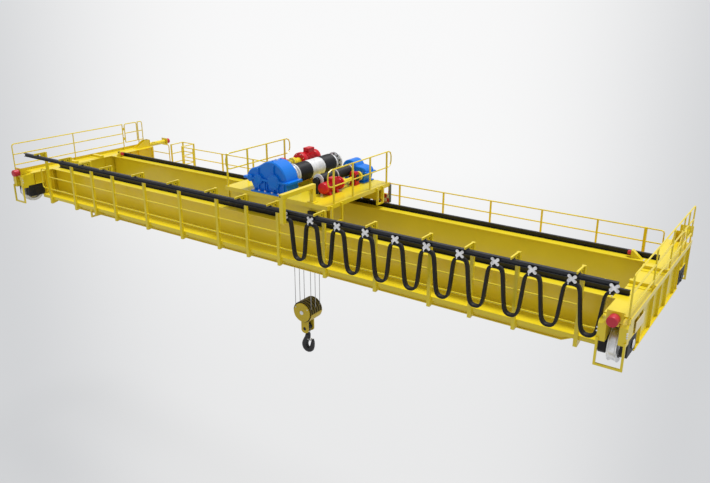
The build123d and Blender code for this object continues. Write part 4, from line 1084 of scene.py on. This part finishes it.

# The tow arm: a square tube bent twice, with corner plates and, on the outer one, a black disc of painted shade that
# stands for a round hole
v = towArmValues
towArm = Piece("towArm", "yellow_paint", "black_paint")
x0, x1 = v["left"], v["right"]
near, nearBack, bottom = v["outer"]
far, farBack = v["inner"]
under, top = v["top"]
towArm.box((x0, near, bottom), (x1, nearBack, top), 0.008)
towArm.box((x0 - 0.003, near - 0.003, under), (x1 + 0.003, farBack + 0.003, top + 0.01), 0.008)
towArm.box((x0, far, deck), (x1, farBack, top), 0.008)
towArm.box((x0 - v["foot"], far - 0.055, deck), (x1 + v["foot"], farBack + 0.055, deck + 0.03), 0.004)
for y, reach in ((nearBack, v["corner"]), (far, -v["corner"])):
    towArm.cast([(y, under), (y + reach, under), (y, under - v["corner"])], x0 + 0.05, x0 + 0.08, axis="X")
# Painted shade: a thin black disc in place of a round hole
towArm.turn([(-0.004, 0.024), (0, 0.024)], (x0 + 0.04, near - 0.003, 2.345), 20, "black_paint")
towArm.build("trolley", ["tow_arm"])

# Small fittings that only this script has: a plate on the deck's edge, a cream plate that paints a reflection of
# light on the outer web of the right end carriage, black boxes on the trolley's axle ends, and the bolts of the
# carriages
fitted = {
    "edgePlate": ((2.56, 1.745, 1.18), (2.63, 1.77, 1.79)),
    "paintedReflectionPlate": ((11.57, -2.36, 0.66), (11.583, -1.65, 0.93)),
    "axleBox": (0.13, 1.6, 1.53, 1.38, 1.58),
    "leftBolts": (0.325, (0.913, 0.827)),
    "rightBolts": (0.316, (0.924, 0.872, 0.819)),
    "boltFace": -3.021,
    "flange": (10.83, 1.1201),
}
v = fitted
edgePlate = Piece("deckEdgePlate", "plate_paint")
edgePlate.box(*v["edgePlate"], 0.003)
edgePlate.build("trolley")

# A cream plate that stands for a painted reflection of light on the right end carriage's outer web
paintedReflectionPlate = Piece("paintedReflectionPlate", "cream_paint")
paintedReflectionPlate.box(*v["paintedReflectionPlate"], 0.003)
paintedReflectionPlate.build("bridge")

axleBoxes = Piece("trolleyAxleBoxes", "black_paint")
half, *faces, bottom, top = v["axleBox"]
for x in trolleyWheel["x"].values():
    for side in (-1, 1):
        low, high = sorted(side * face for face in faces)
        axleBoxes.box((x - half, low, bottom), (x + half, high, top), 0.01)
axleBoxes.build("trolley")

fittings = Piece("bridgeBolts", "bright_steel")
for side in (-1, 1):
    for face, (reach, levels) in ((-1, v["leftBolts"]), (1, v["rightBolts"])):
        x = side * (trackX + face * reach)
        fittings.heads([(x, v["boltFace"], z) for z in levels], "y", 0.02, 0.016)
    for y in (-1.4, 1.4):
        x, z = v["flange"]
        fittings.heads([(side * x, y + a, z) for a in (-0.3, -0.22, 0.22, 0.3)], "Z", 0.02, 0.02)
fittings.build("bridge")

print("stage: camera, floor and light")

camera = {
    "position": (14.64, -17.53, 7.84),
    "pitch": 19.5,
    "azimuth": 34.9,
    "lens": 36.304,
}
lens = bpy.data.cameras.new("camera")
lens.sensor_fit = "HORIZONTAL"
lens.sensor_width = 36
lens.lens = camera["lens"]
lens.clip_end = 30000
eye = bpy.data.objects.new("camera", lens)
eye.location = camera["position"]
eye.rotation_euler = (math.radians(90 - camera["pitch"]), 0, math.radians(camera["azimuth"]))
bpy.context.scene.collection.objects.link(eye)
bpy.context.scene.camera = eye

studio = {
    "level": -9.5,
    "reach": 9000.0,
    "colour": (0.42, 0.42, 0.43),
    "apex": (14.64, -17.53, 0.0),
    "start": (6.0, 21.0),
    "near": (0.84, 0.843, 0.848),
    "bright": (0.985, 0.985, 0.985),
    "edge": (0.655, 0.665, 0.68),
    "show": 0.9,
    "sky": (0.93, 0.93, 0.94),
    "skyStrength": 0.63,
}

# The floor is a square grid at one level, point (u * reach, v * reach, level)
v = studio
u = np.linspace(-1, 1, 5)
points = np.stack([*np.meshgrid(u * v["reach"], u * v["reach"], indexing="ij"), np.full((5, 5), v["level"])], axis=-1)
index = np.arange(25).reshape(5, 5)
faces = np.stack([index[:-1, :-1], index[1:, :-1], index[1:, 1:], index[:-1, 1:]], axis=-1).reshape(-1, 4)
mesh = bpy.data.meshes.new("studioFloor")
mesh.from_pydata(points.reshape(-1, 3).tolist(), [], faces.tolist())
mesh.update()
floor = bpy.data.objects.new("studioFloor", mesh)
bpy.context.scene.collection.objects.link(floor)

# The floor carries a painted pool of light, palest along one line and darker to both sides of it: the painted shade
# follows the ratio of the sideways to the forward distance, and fades in from the start of the line
board = Board("paleFloor")
board.set(Base_Color=v["colour"], Roughness=0.95, Specular_IOR_Level=0.1)
heading = math.radians(camera["azimuth"])
forwardWay = (-math.sin(heading), math.cos(heading), 0.0)
sideWay = (math.cos(heading), math.sin(heading), 0.0)
offset = board.node("ShaderNodeVectorMath", {"operation": "SUBTRACT"}, {0: board.place, 1: v["apex"]})
forward = board.node("ShaderNodeVectorMath", {"operation": "DOT_PRODUCT"}, {0: offset, 1: forwardWay}, 1)
sideways = board.node("ShaderNodeVectorMath", {"operation": "DOT_PRODUCT"}, {0: offset, 1: sideWay}, 1)
ahead = board.node("ShaderNodeMath", {"operation": "MAXIMUM"}, {0: forward, 1: v["start"][0]})
ratio = sideways / ahead
offLine = board.range(ratio * ratio, 0.0, 0.30)
farAway = board.range(forward, 20.0, 75.0)
line = board.mix(farAway, v["near"], v["bright"])
fan = board.mix(offLine, line, v["edge"])
shade = board.mix(board.range(forward, *v["start"]), v["near"], fan)
# Camera, glossy and transmission rays see this painted light as a glow, mixed with a little of the lit floor and its
# shadow; other rays see only the lit floor
glow = board.node("ShaderNodeEmission", {}, {"Color": shade, "Strength": 1.0})
seen, glossy, passed = (board.node("ShaderNodeLightPath", {}, {}, f"Is {ray} Ray")
                        for ray in ("Camera", "Glossy", "Transmission"))
lit = Wire(board, board.shader.outputs[0])
blend = board.node("ShaderNodeMixShader", {}, {0: (seen + glossy + passed) * v["show"], 1: lit, 2: glow})
board.tree.links.new(blend.socket, board.output.inputs["Surface"])
floor.data.materials.append(board.material)

world = bpy.data.worlds.new("studio")
world.use_nodes = True
world.node_tree.nodes["Background"].inputs["Color"].default_value = (*studio["sky"], 1)
world.node_tree.nodes["Background"].inputs["Strength"].default_value = studio["skyStrength"]
bpy.context.scene.world = world

keyLamp = {
    "tilt": 20,
    "turn": 160,
    "strength": 2.6,
    "spread": 16,
}
lamp = bpy.data.lights.new("key", "SUN")
lamp.energy = keyLamp["strength"]
lamp.angle = math.radians(keyLamp["spread"])
thing = bpy.data.objects.new("key", lamp)
thing.rotation_euler = (math.radians(keyLamp["tilt"]), 0, math.radians(keyLamp["turn"]))
bpy.context.scene.collection.objects.link(thing)

bpy.context.scene.view_settings.view_transform = "Standard"
